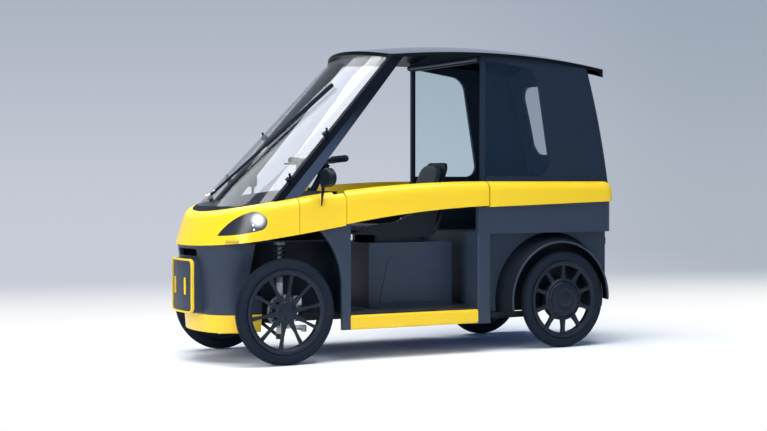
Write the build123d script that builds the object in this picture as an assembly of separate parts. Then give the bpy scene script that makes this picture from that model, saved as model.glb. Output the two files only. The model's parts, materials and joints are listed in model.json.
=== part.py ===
from build123d import *
import os
from math import cos, hypot, radians, sin, sqrt

# Open-sided, roofed, four-wheeled electric microcar, in millimetres.
# +X is forwards, +Y is the vehicle's left and +Z is up. The origin is on the
# ground under the middle of the vehicle.

# Wheels and tyres
WHEELBASE = 1640
FRONT_AXLE_X = 799
REAR_AXLE_X = FRONT_AXLE_X - WHEELBASE
FRONT_WHEEL_Y = 409
REAR_WHEEL_Y = 403
TYRE_R = 260
TYRE_W = 56
RIM_R = 206
RIM_W = 46
RIM_WELL_R = 186
BEAD_DEPTH = 10
SPOKE_COUNT = 10
FRONT_SPOKE_TURN = -9
FRONT_HUB_R = 56
MOTOR_R = 113
AXLE_R = 10
DISC_R = 82
DISC_T = 3
DISC_SETBACK = 30
BEAD_LIP = 4
TREAD_SIDE = 12
TREAD_DROP = 5

# Hub sections: (offset from the wheel's middle, radius)
FRONT_HUB = [(-26, 30), (-12, 42), (4, FRONT_HUB_R), (14, FRONT_HUB_R), (20, 48), (22, 26), (26, 22)]
DISC_SEAT = [(-26.5, 40), (-24, 36), (-24, 26), (-28.5, 26)]
MOTOR_HUB = [(-36, 70), (-30, 107), (-24, MOTOR_R), (14, MOTOR_R), (20, 108), (20, 101), (16, 97), (24, 89),
             (28, 70), (28, 30), (32, 24)]

# Spokes: (root, waist and tip widths), depth, offset from the wheel's middle
FRONT_SPOKE = ((27, 12, 19), 15, 9)
REAR_SPOKE = ((29, 19, 22), 18, 6)
SPOKE_ROOT = 5

# Clearances
RUNNING_GAP = 0.05
SEAM_GAP = 3
SHUT_GAP = 8
GLASS_GAP = 0.5
FACE_GAP = 0.3
MOVING_GAP = 6

# Waist band: its plan outline and its side outline
NOSE_X = 1169
TAIL_OVERHANG = 351
TAIL_X = REAR_AXLE_X - TAIL_OVERHANG
NOSE_R = 600
NOSE_LEAN = 0.33
WAIST_HALF = 425
NOSE_CORNER_R = 180
TAIL_CORNER_R = 70
SHOULDER_R = 52
SKIN = 25
DOOR_T = 40
BAND_REAR_TOP = 895
BAND_REAR_BOTTOM = 787
BAND_NOSE_TOP = 712
BAND_NOSE_BOTTOM = 577
BREAK_AHEAD = 480
BREAK_X = REAR_AXLE_X + BREAK_AHEAD
BREAK_BOTTOM = 760
CREST_X = 900
CREST_TOP = 787
KNEE_X = 442
KNEE_BOTTOM = 680
COWL_SEAM_X = 728
COWL_SETBACK = 45
COWL_INSET = 45
HINGE_X = 455
NOTCH_L = 82
NOTCH_H = 14
NOTCH_INSET = 16
HINGE_PIN_R = 6
HINGE_COLLAR_R = 10
HINGE_SEAT_Z = KNEE_BOTTOM + 14

# Headlamp: arcs as (start, middle), each ending where the next starts, forwards and up from its place
LAMP_AT = (992, 338, 689)
LAMP_TURN = 52.3
LAMP_REACH = 200
LAMP_ARCS = [((128, -60), (55, 9)), ((-40, 54), (-96, 50)),
             ((-124, 22), (-122, -10)), ((-104, -30), (10, -52))]

# Chin under the nose: half-widths and noses at its top and bottom
CHIN_TOP_Z = 590
CHIN_BOTTOM_Z = 152
CHIN_SETBACK = 11
CHIN_RAKE = 42
CHIN_TOP_NOSE = NOSE_X - CHIN_SETBACK
CHIN_BOTTOM_NOSE = CHIN_TOP_NOSE - CHIN_RAKE
CHIN_TOP_HALF = 306
CHIN_BOTTOM_HALF = 262
CHIN_REAR_X = 862
CHIN_T = 18
CHIN_CORNER_R = 150
CHIN_CUT_Z = 330
CHIN_CUT_LOW = 92
CHIN_CUT_HIGH = 48
LIP_TOP_Z = 240
SLOT_HALF = 118
SLOT_Z = 543
SLOT_H = 36
HATCH_HALF = 137
HATCH_BOTTOM_Z = 246
HATCH_TOP_Z = 512
HATCH_PROUD = 34
HATCH_FRONT_X = CHIN_TOP_NOSE + HATCH_PROUD
HATCH_R = 28
HATCH_RIM = 9
HATCH_RIM_T = 12
HATCH_PULL_Y = 67
HATCH_PULL_Z = 378
HATCH_PULL_W = 12
HATCH_PULL_H = 84
HATCH_STEP = 7
HATCH_SLOT_T = 12

# Lower body
SIDE_HALF = 412
FLOOR_Z = 227
FLOOR_T = 8
FLOOR_HALF = 396
SILL_BOTTOM_Z = 154
SILL_W = 46
SILL_R = 14
LEG_REAR_X = 444
LEG_T = 22
LEG_LIP_R = 12
LEG_BOTTOM_Z = 156
LEG_TOP_Z = 720
LEG_ARCH = [(-189, 650), (-269, 540), (-307, 384)]
LEG_FOOT_W = 45
HINGE_LUG = (12, 30, 15)
HINGE_LUG_Z = 616
HINGE_ROOT_Z = 636
HINGE_PIN_DROP = 60
POST_W = 81
POST_FRONT_X = BREAK_X + 59
POST_REAR_X = POST_FRONT_X - POST_W
POST_BOTTOM_Z = 152
POST_R = 14
SHELF_Z = 630
SHELF_T = 10
RECESS_HALF = 335
RECESS_T = 10
POST_INNER_Y = RECESS_HALF - 40
RECESS_BOTTOM_Z = 420
WALL_BOTTOM_Z = 204
TAIL_BOTTOM_Z = 330
TAIL_SIDE = 300
TAIL_T = 11
TAIL_LAMP_AT = (296, 566)
TAIL_LAMP_SIZE = (62, 44)
TAIL_LAMP_R = 10
TAIL_LAMP_T = 11
LINER_Y = 250
LINER_T = 6
LINER_TOP_Z = 604
LINER_FRONT_X = FRONT_AXLE_X + 126
LINER_REAR_X = LEG_REAR_X + 14
CARGO_Z = 620
CARGO_T = 10
DECK_SETBACK = 45
DECK_REAR_X = TAIL_X + DECK_SETBACK
BULKHEAD_MARGIN = 30
GUARD_AHEAD = 24
GUARD_X = REAR_AXLE_X + GUARD_AHEAD
GUARD_ROOT_R = SHELF_Z - SHELF_T - TYRE_R - FACE_GAP
GUARD_LIP_R = 316
GUARD_T = 13
GUARD_LIP_Y = 431
GUARD_FRONT_DEG = -10
GUARD_REAR_DEG = 182
HOUSE_SLOT_R = 34

# Roof, screen and canopy
ROOF_Z = 1618
ROOF_T = 18
ROOF_CROWN_R = 1480
ROOF_LENGTH_R = 4600
ROOF_MID_X = BREAK_X - 19
ROOF_WIDE_X = ROOF_MID_X - 70
ROOF_FRONT_X = 285
ROOF_FRONT_BOW = 100
ROOF_REAR_BOW = 18
ROOF_CORNER_R = 45
ROOF_REAR_X = TAIL_X + 24
ROOF_LIP_T = 24
ROOF_LIP_W = 62
ROOF_FRONT_HALF = 362
ROOF_MID_HALF = 398
ROOF_REAR_HALF = 372
SCREEN_T = 6
SECTION_LOW_Z = 770
SECTION_HIGH_Z = ROOF_Z - 18
PILLAR_T = 34
DASH_Z = (790, 826)
DASH_HALF = 14
DASH_REACH = 130
CANOPY_HALF = 385
CANOPY_T = 20
CANOPY_BOTTOM_Z = 800
CANOPY_CORNER_R = 35
CANOPY_RAKE = 192
CANOPY_BOW = 22
HOOP_FRONT_X = BREAK_X + 18
HOOP_W = 22
HOOP_HALF = WAIST_HALF - DOOR_T - MOVING_GAP
HOOP_HEAD = 100
WINDOW_TOP_Z = ROOF_Z - 88
WINDOW_FALL = 44
WINDOW_LOW_Z = BAND_REAR_TOP + 27
WINDOW_FRONT_X = HOOP_FRONT_X - HOOP_W
WINDOW_TOP_W = 325
WINDOW_LOW_W = 421
WINDOW_R = 100
WINDOW_LOW_R = 60
PANE_HALF = 290
PANE_TOP_Z = ROOF_Z - 178
PANE_LOW_Z = BAND_REAR_TOP + 155
PANE_R = 80
CANOPY_SEAM = 55
GLASS_T = 5

# Windscreen slices, low and high: (x at the edge, y at the edge, x in the middle)
SCREEN_LOW = (884, 374, 1056)
SCREEN_HIGH = (134, 338, 222)
SCREEN_SLANT = 1.4

# Pillar slices, low and high: (front x, width, outer y)
PILLAR_LOW = (871, 124, 390)
PILLAR_HIGH = (121, 68, 352)

# Screen clamps on the pillars, each with a knob that stands off its middle
CLAMPS = [(556, 372, 1122), (760, 382, 896)]
CLAMP_SIZE = (34, 44, 20)
CLAMP_TURN = -48
KNOB_FOOT = Vector(0, 12, 0)
KNOB_TOP = Vector(12, 18, 34)
KNOB_R = 6

# Wiper: places on the glass, and how far off the glass it runs
WIPER_OUT = Vector(0.69, 0.14, 0.71)
WIPER_LIFT = 15
WIPER_FOOT = Vector(1030, 22, 806)
BLADE_LOW = Vector(752, 86, 1062)
BLADE_HIGH = Vector(420, 180, 1374)
BLADE_HOLD = 0.38
BLADE_R = 6
WIPER_BOSS_R = 12
WIPER_ARMS = [(4, Vector(0, -5, 0), Vector(0, -5, 4)), (3, Vector(0, 9, 2), Vector(0, 3, 8))]

# Mirrors: stalk as foot and top in the side view, head as arcs outwards and up from the stalk's top
MIRROR_X = 604
MIRROR_T = 34
MIRROR_STALK = ((614, 772), (612, 876))
MIRROR_STALK_W = 16
MIRROR_STALK_T = 6
MIRROR_ARCS = [((2, -10), (-8, 34)), ((14, 70), (54, 82)), ((96, 66), (118, 34)), ((92, 0), (46, -12))]

# Seat and its box
SEAT_HALF = 200
SEAT_T = 14
HEEL_X = BREAK_X + 196
SEAT_LENGTH = 465
BACK_RAKE = 135
SEAT_HEEL = (HEEL_X, 607)
SEAT_FRONT = (HEEL_X + SEAT_LENGTH, 627)
SEAT_TOP = (HEEL_X - BACK_RAKE, 992)
SEAT_BEND_R = 80
SEAT_NECK = 112
SEAT_CROWN = 8
SEAT_BASE_Z = 560
SEAT_WAIST_Z = 770
SEAT_NECK_Z = 900
SEAT_TIP_R = 60
SEAT_WAIST_R = 70
WING_T = 12
WING_LINE = [(471, 14), (401, 57), (235, 77), (135, 117), (61, 179), (-7, 265), (-63, 277), (15, 5)]
PAD_T = 36
PAD_FOLD_X = HEEL_X + 77
PAD_FOLD_Z = 690
PAD_MARGIN = 16
PAD_SIDE_GAP = 3
BOX_LENGTH = 499
BOX_REAR_X = BREAK_X + 91
BOX_FRONT_X = BOX_REAR_X + BOX_LENGTH
BOX_TOP_Z = 575
BOX_T = 6
COVER_T = 4
COVER_LINE = [(440, 262), (388, 492), (292, 492), (232, 422), (78, 414), (78, 262)]
SEAT_RAIL_X = (BOX_REAR_X + 160, BOX_REAR_X + 420)
SEAT_RAIL_Y = (110, 140)
BATTERY_MARGINS = (60, 40, 80)

# Frame: rails, cross-members and outriggers
RAIL_Y = 200
RAIL_W = 40
RAIL_H = 35
RAIL_FRONT_X = 905
TOE_LENGTH = 20
CROSS_X = (RAIL_FRONT_X - RAIL_W / 2, FRONT_AXLE_X, LEG_REAR_X - 144, POST_REAR_X + 60)
OUTRIGGER_X = (LEG_REAR_X - 174, POST_FRONT_X + 72)
DECK_CROSS_REACH = 110

# Front suspension and steering
KINGPIN_Y = 345
KINGPIN_R = 10
UPRIGHT_R = 18
UPRIGHT_BOTTOM_Z = 150
UPRIGHT_TOP_Z = 400
PIN_LENGTH = 36
PIN_ROOM = 6
ARM_BOSS_R = 20
ARM_BOSS_H = 26
WISHBONE_HALF = 56
WISHBONE_Z = 206
WISHBONE_R = 9
WISHBONE_LAP = 8
STUB_COLLAR_R = 24
FRONT_STUB_END = 22
FRONT_COLLAR_GAP = 48
STEER_ARM = 130
STEER_ARM_Z = 172
STEER_ARM_T = 14
STEER_ARM_HALF = 12
STUD_R = 6
STUD_PROUD = 2
TIE_ROD_R = 7
TIE_EYE_R = 13
TIE_EYE_H = 18
SPINDLE_R = 12
SPINDLE_BOSS_R = 22
STRUT_R = 20
STRUT_H = 110
STRUT_ROD_R = 13
STRUT_TOP_R = 30
STRUT_TOP_H = 14
STRUT_PIN_H = 30
CALIPER_X = (-96, -52)
CALIPER_Z = (26, 74)
CALIPER_BACK = 22
CALIPER_LIP = 4
BRACKET_X = -60
BRACKET_Z = (30, 62)

# Steering column and handlebar: bar stops as (x, y, z), left half
JOINT_Z = 270
JOINT_R = 18
COLUMN_RAKE = 0.6
COLUMN_UP = Vector(-COLUMN_RAKE, 0, 1).normalized()
COLUMN_FOOT = Vector(FRONT_AXLE_X, 0, JOINT_Z)
COLUMN_R = 17
COLUMN_LENGTH = 815
COLUMN_START = 16
COLLAR_AT = 625
COLLAR_T = 12
COLLAR_H = 46
COLLAR_ROOM = 10
CUP_START = 4
CUP_T = 8
CUP_H = 34
STEM_R = 15
STEM_LAP = 20
CLAMP_R = 18
CLAMP_HALF = 34
BAR_R = 11
BAR_STOPS = [(404, 0, 990), (404, 50, 990), (446, 150, 1000), (428, 330, 1008)]
GRIP_R = 16
GRIP_START = (441, 200, 1002.8)
LEVER_STOPS = [(448, 178, 1001.6), (476, 196, 986), (478, 300, 988)]
LEVER_RADII = (7, 5)

# Rear suspension
ARM_Y = 290
ARM_HALF = 15
ARM_LENGTH = 401
ARM_PIVOT_X = REAR_AXLE_X + ARM_LENGTH
ARM_PIVOT_Z = 210
ARM_PIVOT_R = 12
ARM_EYE_R = 24
ARM_EYE_HALF = 18
ARM_ROOT_HALF = 18
ARM_TIP_HALF = 26
ARM_TIP = 34
PIVOT_PROUD = 20
REAR_STUB_END = 26
REAR_COLLAR_GAP = 42
SHOCK_FOOT_X = REAR_AXLE_X + 96
SHOCK_TOP_X = REAR_AXLE_X + 161
SHOCK_DROP = 16
SHOCK_ROD_R = 14
SHOCK_R = 27
SHOCK_SPAN = (0.22, 0.8)

FAR = 4000


def side_prism(sketch, half=FAR / 2):
    """Extrude an outline drawn in X and Z across the vehicle."""
    return extrude(Plane.XZ * sketch, half, both=True)


def front_prism(sketch, half=FAR / 2):
    """Extrude an outline drawn in Y and Z along the vehicle."""
    return extrude(Plane.YZ * sketch, half, both=True)


def block(x0, x1, y0, y1, z0, z1):
    """Box between two corners."""
    centre = ((x0 + x1) / 2, (y0 + y1) / 2, (z0 + z1) / 2)
    return Pos(*centre) * Box(x1 - x0, y1 - y0, z1 - z0)


def rod(start, end, radius):
    """Round bar between two points."""
    axis = Vector(*end) - Vector(*start)
    return extrude(Plane(origin=start, z_dir=axis) * Circle(radius), axis.length)


def upright(x, y, z0, z1, radius):
    """Vertical round bar."""
    return Pos(x, y, z0) * extrude(Circle(radius), z1 - z0)


def mirrored(shape):
    """The same piece on the right side."""
    return mirror(shape, about=Plane.XZ)


def pair(left):
    """A left piece with its right twin."""
    return left + mirrored(left)


def plan_outline(inset, lean=0):
    """Plan of the waist band, moved inwards by an inset, its nose moved back by a lean."""
    centre_x = NOSE_X - NOSE_R - lean
    radius = NOSE_R - inset
    half = WAIST_HALF - inset
    corner_x = centre_x + sqrt(radius**2 - half**2)
    tail = TAIL_X + inset
    nose = ThreePointArc((corner_x, -half), (centre_x + radius, 0), (corner_x, half))
    rest = Polyline((corner_x, half), (tail, half), (tail, -half), (corner_x, -half))
    face = make_face([nose, rest])
    corners = face.vertices().sort_by(Axis.X)
    face = fillet(corners[:2], TAIL_CORNER_R - inset)
    corners = face.vertices().sort_by(Axis.X)
    return fillet(corners[-2:], NOSE_CORNER_R - inset)


def plan_prism(inset, z0=0, z1=ROOF_Z):
    """Plan of the waist band as an upright prism."""
    return Pos(0, 0, z0) * extrude(plan_outline(inset), z1 - z0)


def leaning_plan(inset):
    """Upright form of the waist band with a nose that leans back as it rises."""
    low = plan_outline(inset, -NOSE_LEAN * BAND_NOSE_BOTTOM)
    high = plan_outline(inset, NOSE_LEAN * (ROOF_Z - BAND_NOSE_BOTTOM))
    return loft([low, Pos(0, 0, ROOF_Z) * high], ruled=True)


def band_top(drop):
    """Upper edge of the band in the side view, from tail to nose."""
    flat = Line((TAIL_X, BAND_REAR_TOP - drop), (BREAK_X, BAND_REAR_TOP - drop))
    long_arc = TangentArc(flat @ 1, (CREST_X, CREST_TOP - drop), tangent=flat % 1)
    hood_arc = TangentArc(long_arc @ 1, (NOSE_X, BAND_NOSE_TOP - drop), tangent=long_arc % 1)
    return [flat, long_arc, hood_arc]


def band_bottom():
    """Lower edge of the band in the side view, from tail to nose."""
    flat = Line((TAIL_X, BAND_REAR_BOTTOM), (BREAK_X, BREAK_BOTTOM))
    knee_arc = TangentArc(flat @ 1, (KNEE_X, KNEE_BOTTOM), tangent=flat % 1)
    nose_arc = TangentArc(knee_arc @ 1, (NOSE_X, BAND_NOSE_BOTTOM), tangent=knee_arc % 1)
    return [flat, knee_arc, nose_arc]


def band_face(top, bottom):
    """Closed side outline between two edges that run from tail to nose."""
    tail = Line(top[0] @ 0, bottom[0] @ 0)
    nose = Line(top[-1] @ 1, bottom[-1] @ 1)
    return make_face([*top, *bottom, tail, nose])


def below_band(lift=0):
    """Everything under the band's lower edge, raised by a lift."""
    ground = [Line((TAIL_X, 0), (NOSE_X, 0))]
    return Pos(0, 0, lift) * side_prism(band_face(band_bottom(), ground))


def shoulder_edges(solid):
    """The rim between the band's top and its walls."""
    flat_limit = 0.5
    rims = []
    tops = [f for f in solid.faces() if f.normal_at(f.center()).Z > flat_limit]
    for face in tops:
        for edge in face.outer_wire().edges():
            middle = edge @ 0.5
            spans_width = abs((edge @ 0).Y - (edge @ 1).Y) > WAIST_HALF and abs(middle.Y) < 1
            on_wall = abs((edge @ 0).X - (edge @ 1).X) > 1 or not spans_width
            if on_wall or middle.X < TAIL_X + 2 * SKIN or middle.X > CREST_X + SKIN:
                rims.append(edge)
    return rims


def waist_block():
    """Outer form of the waist: nose, sides and tail with a rounded shoulder."""
    solid = leaning_plan(0) & side_prism(band_face(band_top(0), band_bottom()))
    return fillet(shoulder_edges(solid), SHOULDER_R)


def waist_hollow():
    """Space inside the skin of the nose and front wings."""
    low = [Line((TAIL_X, 0), (NOSE_X, 0))]
    solid = leaning_plan(SKIN) & side_prism(band_face(band_top(SKIN), low))
    return fillet(shoulder_edges(solid), SHOULDER_R - SKIN)


WAIST = waist_block()
HOLLOW = waist_hollow()
COWL_PLAN = Pos(-COWL_SETBACK, 0, 0) * plan_prism(COWL_INSET)
HINGE_Y = WAIST_HALF - DOOR_T / 2


def lamp_prism(margin):
    """Almond lamp outline on the nose corner, pushed through the skin."""
    edge = []
    for (start, middle), (end, _) in zip(LAMP_ARCS, LAMP_ARCS[1:] + LAMP_ARCS[:1]):
        edge.append(ThreePointArc(start, middle, end))
    turn = radians(LAMP_TURN)
    inward = Vector(-cos(turn), -sin(turn), 0)
    forward = Vector(sin(turn), -cos(turn), 0)
    plane = Plane(origin=LAMP_AT, x_dir=forward, z_dir=inward)
    return extrude(plane * offset(make_face(edge), margin), LAMP_REACH, both=True)


def nose_cowl():
    """Yellow nose with openings for the lamps."""
    ahead = block(COWL_SEAM_X + SEAM_GAP / 2, FAR, -FAR, FAR, 0, FAR)
    shell = (WAIST & ahead) - HOLLOW - COWL_PLAN
    openings = lamp_prism(0)
    return shell - openings - mirrored(openings)


def headlamps():
    """Flush lamp lenses in the nose corners."""
    return pair((WAIST & lamp_prism(-SEAM_GAP / 3)) - HOLLOW - COWL_PLAN)


def hinge_round(radius):
    """Round leading edge about the door hinge."""
    return upright(HINGE_X, HINGE_Y, 0, ROOF_Z, radius)


def fender_bands():
    """Yellow wings between the nose and the door bars."""
    span = block(HINGE_X, COWL_SEAM_X - SEAM_GAP / 2, 0, FAR, 0, FAR)
    wing = (WAIST & span) - HOLLOW - plan_prism(COWL_INSET)
    notch = block(HINGE_X, HINGE_X + NOTCH_L, 0, WAIST_HALF - NOTCH_INSET, 0, FAR)
    notch -= Pos(0, 0, -NOTCH_H) * side_prism(band_face(band_top(0), band_bottom()))
    notch -= below_band(NOTCH_H)
    return pair(wing - notch - hinge_round(DOOR_T / 2 + SHUT_GAP))


def door_bar():
    """Left waist-high door bar, round about its hinge pin."""
    inner_y = WAIST_HALF - DOOR_T
    bar = block(BREAK_X, HINGE_X, inner_y, FAR, 0, FAR) + hinge_round(DOOR_T / 2)
    bar = (WAIST & bar) - below_band(MOVING_GAP)
    top = bar.bounding_box().max.Z
    depth = (BAND_REAR_TOP - BREAK_BOTTOM) / 2
    bar -= upright(HINGE_X, HINGE_Y, 0, HINGE_SEAT_Z, HINGE_COLLAR_R + MOVING_GAP)
    return bar - upright(HINGE_X, HINGE_Y, 0, top - depth, HINGE_PIN_R + RUNNING_GAP)


def rear_band():
    """Yellow band round the tail."""
    behind = block(-FAR, BREAK_X - SHUT_GAP, -FAR, FAR, 0, FAR)
    return (WAIST & behind) - plan_prism(DOOR_T)


def chin_outline(nose, half, inset):
    """Plan of the chin at one height."""
    radius = NOSE_R - inset
    centre_x = nose - NOSE_R
    half = half - inset
    rear = CHIN_REAR_X
    corner_x = centre_x + sqrt(radius**2 - half**2)
    arc = ThreePointArc((corner_x, -half), (centre_x + radius, 0), (corner_x, half))
    rest = Polyline((corner_x, half), (rear, half), (rear, -half), (corner_x, -half))
    face = make_face([arc, rest])
    return fillet(face.vertices().sort_by(Axis.X)[-2:], CHIN_CORNER_R - inset)


def chin_block(inset):
    """Tapered chin form, moved inwards by an inset."""
    top = Pos(0, 0, CHIN_TOP_Z) * chin_outline(CHIN_TOP_NOSE, CHIN_TOP_HALF, inset)
    bottom = Pos(0, 0, CHIN_BOTTOM_Z) * chin_outline(CHIN_BOTTOM_NOSE, CHIN_BOTTOM_HALF, inset)
    return loft([bottom, top], ruled=True)


def chin_shell():
    """Wall of the chin, open behind, with its slanted upper rear edge."""
    rear = CHIN_REAR_X
    cut = Polyline((rear, CHIN_CUT_Z), (rear + CHIN_CUT_LOW, CHIN_CUT_Z), (rear + CHIN_CUT_HIGH, CHIN_TOP_Z),
                   (rear, CHIN_TOP_Z), close=True)
    back = block(rear, rear + FACE_GAP, -FAR, FAR, 0, FAR)
    shell = chin_block(0) - chin_block(CHIN_T) - back
    return (shell - side_prism(make_face(cut))) & below_band()


CHIN = chin_shell()
CHIN_SPLIT = block(-FAR, FAR, -FAR, FAR, -FAR, LIP_TOP_Z)


def nose_chin():
    """Dark front panel with the air slot."""
    slot = front_prism(Pos(0, SLOT_Z) * RectangleRounded(2 * SLOT_HALF, SLOT_H, SLOT_H * 0.3))
    slot = slot & block(CHIN_REAR_X, FAR, -FAR, FAR, 0, FAR)
    return CHIN - CHIN_SPLIT - slot


def hatch_outline(inset):
    """Rounded front outline of the nose hatch."""
    width = 2 * (HATCH_HALF - inset)
    height = HATCH_TOP_Z - HATCH_BOTTOM_Z - 2 * inset
    middle = (HATCH_TOP_Z + HATCH_BOTTOM_Z) / 2
    return front_prism(Pos(0, middle) * RectangleRounded(width, height, HATCH_R - inset))


def hatch_layer(front_x, depth):
    """Curved slab parallel to the nose."""
    centre_x = HATCH_FRONT_X - NOSE_R
    outer = upright(centre_x, 0, 0, ROOF_Z, front_x - centre_x)
    inner = upright(centre_x, 0, 0, ROOF_Z, front_x - depth - centre_x)
    return (outer - inner) & block(CHIN_REAR_X, FAR, -FAR, FAR, 0, FAR)


def hatch_slot(y, width):
    """Upright slot outline on the hatch."""
    return front_prism(Pos(y, HATCH_PULL_Z) * RectangleRounded(width, HATCH_PULL_H, width * 0.4))


def front_hatch():
    """Raised dark hatch on the chin, with a finger slot beside each pull."""
    rim_back = HATCH_FRONT_X - HATCH_RIM_T
    face = hatch_outline(HATCH_RIM + FACE_GAP) & hatch_layer(HATCH_FRONT_X - HATCH_STEP, CHIN_CORNER_R)
    plinth = hatch_outline(0) & hatch_layer(rim_back - FACE_GAP, CHIN_CORNER_R)
    slot = hatch_slot(HATCH_PULL_Y + HATCH_PULL_W, HATCH_PULL_W)
    slot = slot & hatch_layer(HATCH_FRONT_X, HATCH_STEP + HATCH_SLOT_T)
    return (face + plinth) - chin_block(0) - pair(slot)


def hatch_trim():
    """Yellow rim and pulls of the hatch."""
    rim = (hatch_outline(0) - hatch_outline(HATCH_RIM)) & hatch_layer(HATCH_FRONT_X, HATCH_RIM_T)
    depth = HATCH_STEP - 1
    pull_x = HATCH_FRONT_X - HATCH_STEP + depth + FACE_GAP
    pull = hatch_slot(HATCH_PULL_Y, HATCH_PULL_W) & hatch_layer(pull_x, depth)
    return rim + pair(pull)


def front_lip():
    """Yellow lip under the chin."""
    return CHIN & CHIN_SPLIT


def screen_section(z, end_x, end_y, nose_x):
    """Curved strip of the windscreen at one height."""
    back = SCREEN_T * SCREEN_SLANT
    outer = ThreePointArc((end_x, -end_y), (nose_x, 0), (end_x, end_y))
    near = (end_x - back, end_y - SCREEN_T)
    inner = ThreePointArc((near[0], -near[1]), (nose_x - back, 0), near)
    ends = [Line((end_x, end_y), near), Line((end_x, -end_y), (near[0], -near[1]))]
    return Pos(0, 0, z) * make_face([outer, inner, *ends])


def roof_section(depth):
    """Crowned line across the roof at a depth under its top."""
    half = 2 * ROOF_MID_HALF
    radius = ROOF_CROWN_R - depth
    centre_z = ROOF_Z - ROOF_CROWN_R
    edge_z = centre_z + sqrt(radius**2 - half**2)
    return ThreePointArc((-half, edge_z), (0, centre_z + radius), (half, edge_z))


def swept_roof(lower, upper):
    """Turn a slice about a far axis, so the roof is arched lengthways too."""
    sides = [Line(lower @ 0, upper @ 0), Line(lower @ 1, upper @ 1)]
    plane = Plane(origin=(ROOF_MID_X, 0, 0), x_dir=(0, 1, 0), z_dir=(1, 0, 0))
    axis = Axis((ROOF_MID_X, 0, ROOF_Z - ROOF_LENGTH_R), (0, 1, 0))
    return revolve(plane * make_face([lower, upper, *sides]), axis)


def roof_plan():
    """Plan of the roof with its bowed sides."""
    front_x = ROOF_FRONT_X - ROOF_FRONT_BOW
    rear_x = ROOF_REAR_X + ROOF_REAR_BOW
    edges = [ThreePointArc((front_x, -ROOF_FRONT_HALF), (ROOF_FRONT_X, 0), (front_x, ROOF_FRONT_HALF))]
    edges.append(ThreePointArc((rear_x, -ROOF_REAR_HALF), (ROOF_REAR_X, 0), (rear_x, ROOF_REAR_HALF)))
    for side in (-1, 1):
        front = (front_x, side * ROOF_FRONT_HALF)
        rear = (rear_x, side * ROOF_REAR_HALF)
        edges.append(ThreePointArc(front, (ROOF_WIDE_X, side * ROOF_MID_HALF), rear))
    face = make_face(edges)
    return fillet(face.vertices(), ROOF_CORNER_R)


ROOF_LID_Z = ROOF_Z + 10 * ROOF_T
ROOF_LID = Line((-2 * ROOF_MID_HALF, ROOF_LID_Z), (2 * ROOF_MID_HALF, ROOF_LID_Z))
ABOVE_ROOF = swept_roof(roof_section(ROOF_T), ROOF_LID)


def roof_panel():
    """Crowned roof with a turned-down lip at its tail."""
    slab = swept_roof(roof_section(ROOF_T), roof_section(0))
    lip = swept_roof(roof_section(ROOF_T + ROOF_LIP_T), roof_section(0))
    lip = lip & block(-FAR, ROOF_REAR_X + ROOF_LIP_W, -FAR, FAR, 0, FAR)
    return (slab + lip) & Pos(0, 0, CANOPY_BOTTOM_Z) * extrude(roof_plan(), FAR)


def windscreen():
    """Wrapped windscreen between the nose and the roof."""
    low = screen_section(SECTION_LOW_Z, *SCREEN_LOW)
    high = screen_section(SECTION_HIGH_Z, *SCREEN_HIGH)
    return loft([low, high], ruled=True) - WAIST - ABOVE_ROOF


SCREEN = windscreen()


def pillar_section(z, front_x, width, outer_y):
    """Slice of a front pillar at one height."""
    return Pos(front_x - width / 2, outer_y - PILLAR_T / 2, z) * Rectangle(width, PILLAR_T)


def front_pillars():
    """Raked pillars each side of the windscreen, with the screen's clamps."""
    low = pillar_section(SECTION_LOW_Z, *PILLAR_LOW)
    high = pillar_section(SECTION_HIGH_Z, *PILLAR_HIGH)
    post = loft([low, high], ruled=True) - WAIST - ABOVE_ROOF
    for place in CLAMPS:
        post += Pos(*place) * Rot(0, CLAMP_TURN, 0) * Box(*CLAMP_SIZE)
        post += rod(Vector(*place) + KNOB_FOOT, Vector(*place) + KNOB_TOP, KNOB_R)
    return pair(post - WAIST - SCREEN)


def canopy_profile(shift, front_x):
    """Side outline of the canopy box, its rear edge moved forwards by a shift."""
    low = (TAIL_X + shift, CANOPY_BOTTOM_Z - HOOP_W)
    high = (TAIL_X + CANOPY_RAKE + shift, ROOF_Z - ROOF_T)
    middle = ((low[0] + high[0]) / 2 - CANOPY_BOW, (low[1] + high[1]) / 2)
    rear = ThreePointArc(low, middle, high)
    rest = Polyline(high, (front_x, high[1]), (front_x, low[1]), low)
    return make_face([rear, rest])


def canopy_form(inset, front_x):
    """Solid form of the canopy, moved inwards by an inset."""
    solid = side_prism(canopy_profile(inset, front_x), CANOPY_HALF - inset)
    rear_edges = [e for e in solid.edges().sort_by(Axis.X) if abs((e @ 0).Z - (e @ 1).Z) > CANOPY_HALF][:2]
    return fillet(rear_edges, CANOPY_CORNER_R - inset)


def canopy_shell():
    """Canopy walls between the band and the roof."""
    shell = canopy_form(0, HOOP_FRONT_X - HOOP_W) - canopy_form(CANOPY_T, 0)
    shell = shell & block(-FAR, FAR, -FAR, FAR, CANOPY_BOTTOM_Z, FAR)
    return shell - ABOVE_ROOF - rear_band()


def side_window(margin):
    """Rounded side window outline in the side view."""
    x = WINDOW_FRONT_X
    top = (x - WINDOW_TOP_W, WINDOW_TOP_Z - WINDOW_FALL)
    low = (x - WINDOW_LOW_W, WINDOW_LOW_Z)
    face = make_face(Polyline((x, WINDOW_LOW_Z), (x, WINDOW_TOP_Z), top, low, close=True))
    face = fillet(face.vertices().sort_by(Axis.X)[:1], WINDOW_LOW_R)
    behind = [v for v in face.vertices().sort_by(Axis.Y)[-2:] if v.X < x - WINDOW_R]
    face = fillet(behind, WINDOW_R)
    return side_prism(offset(face, margin))


def rear_window(margin):
    """Rounded rear window outline."""
    middle = (PANE_TOP_Z + PANE_LOW_Z) / 2
    pane = RectangleRounded(2 * PANE_HALF, PANE_TOP_Z - PANE_LOW_Z, PANE_R)
    return front_prism(offset(Pos(0, middle) * pane, margin))


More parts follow.
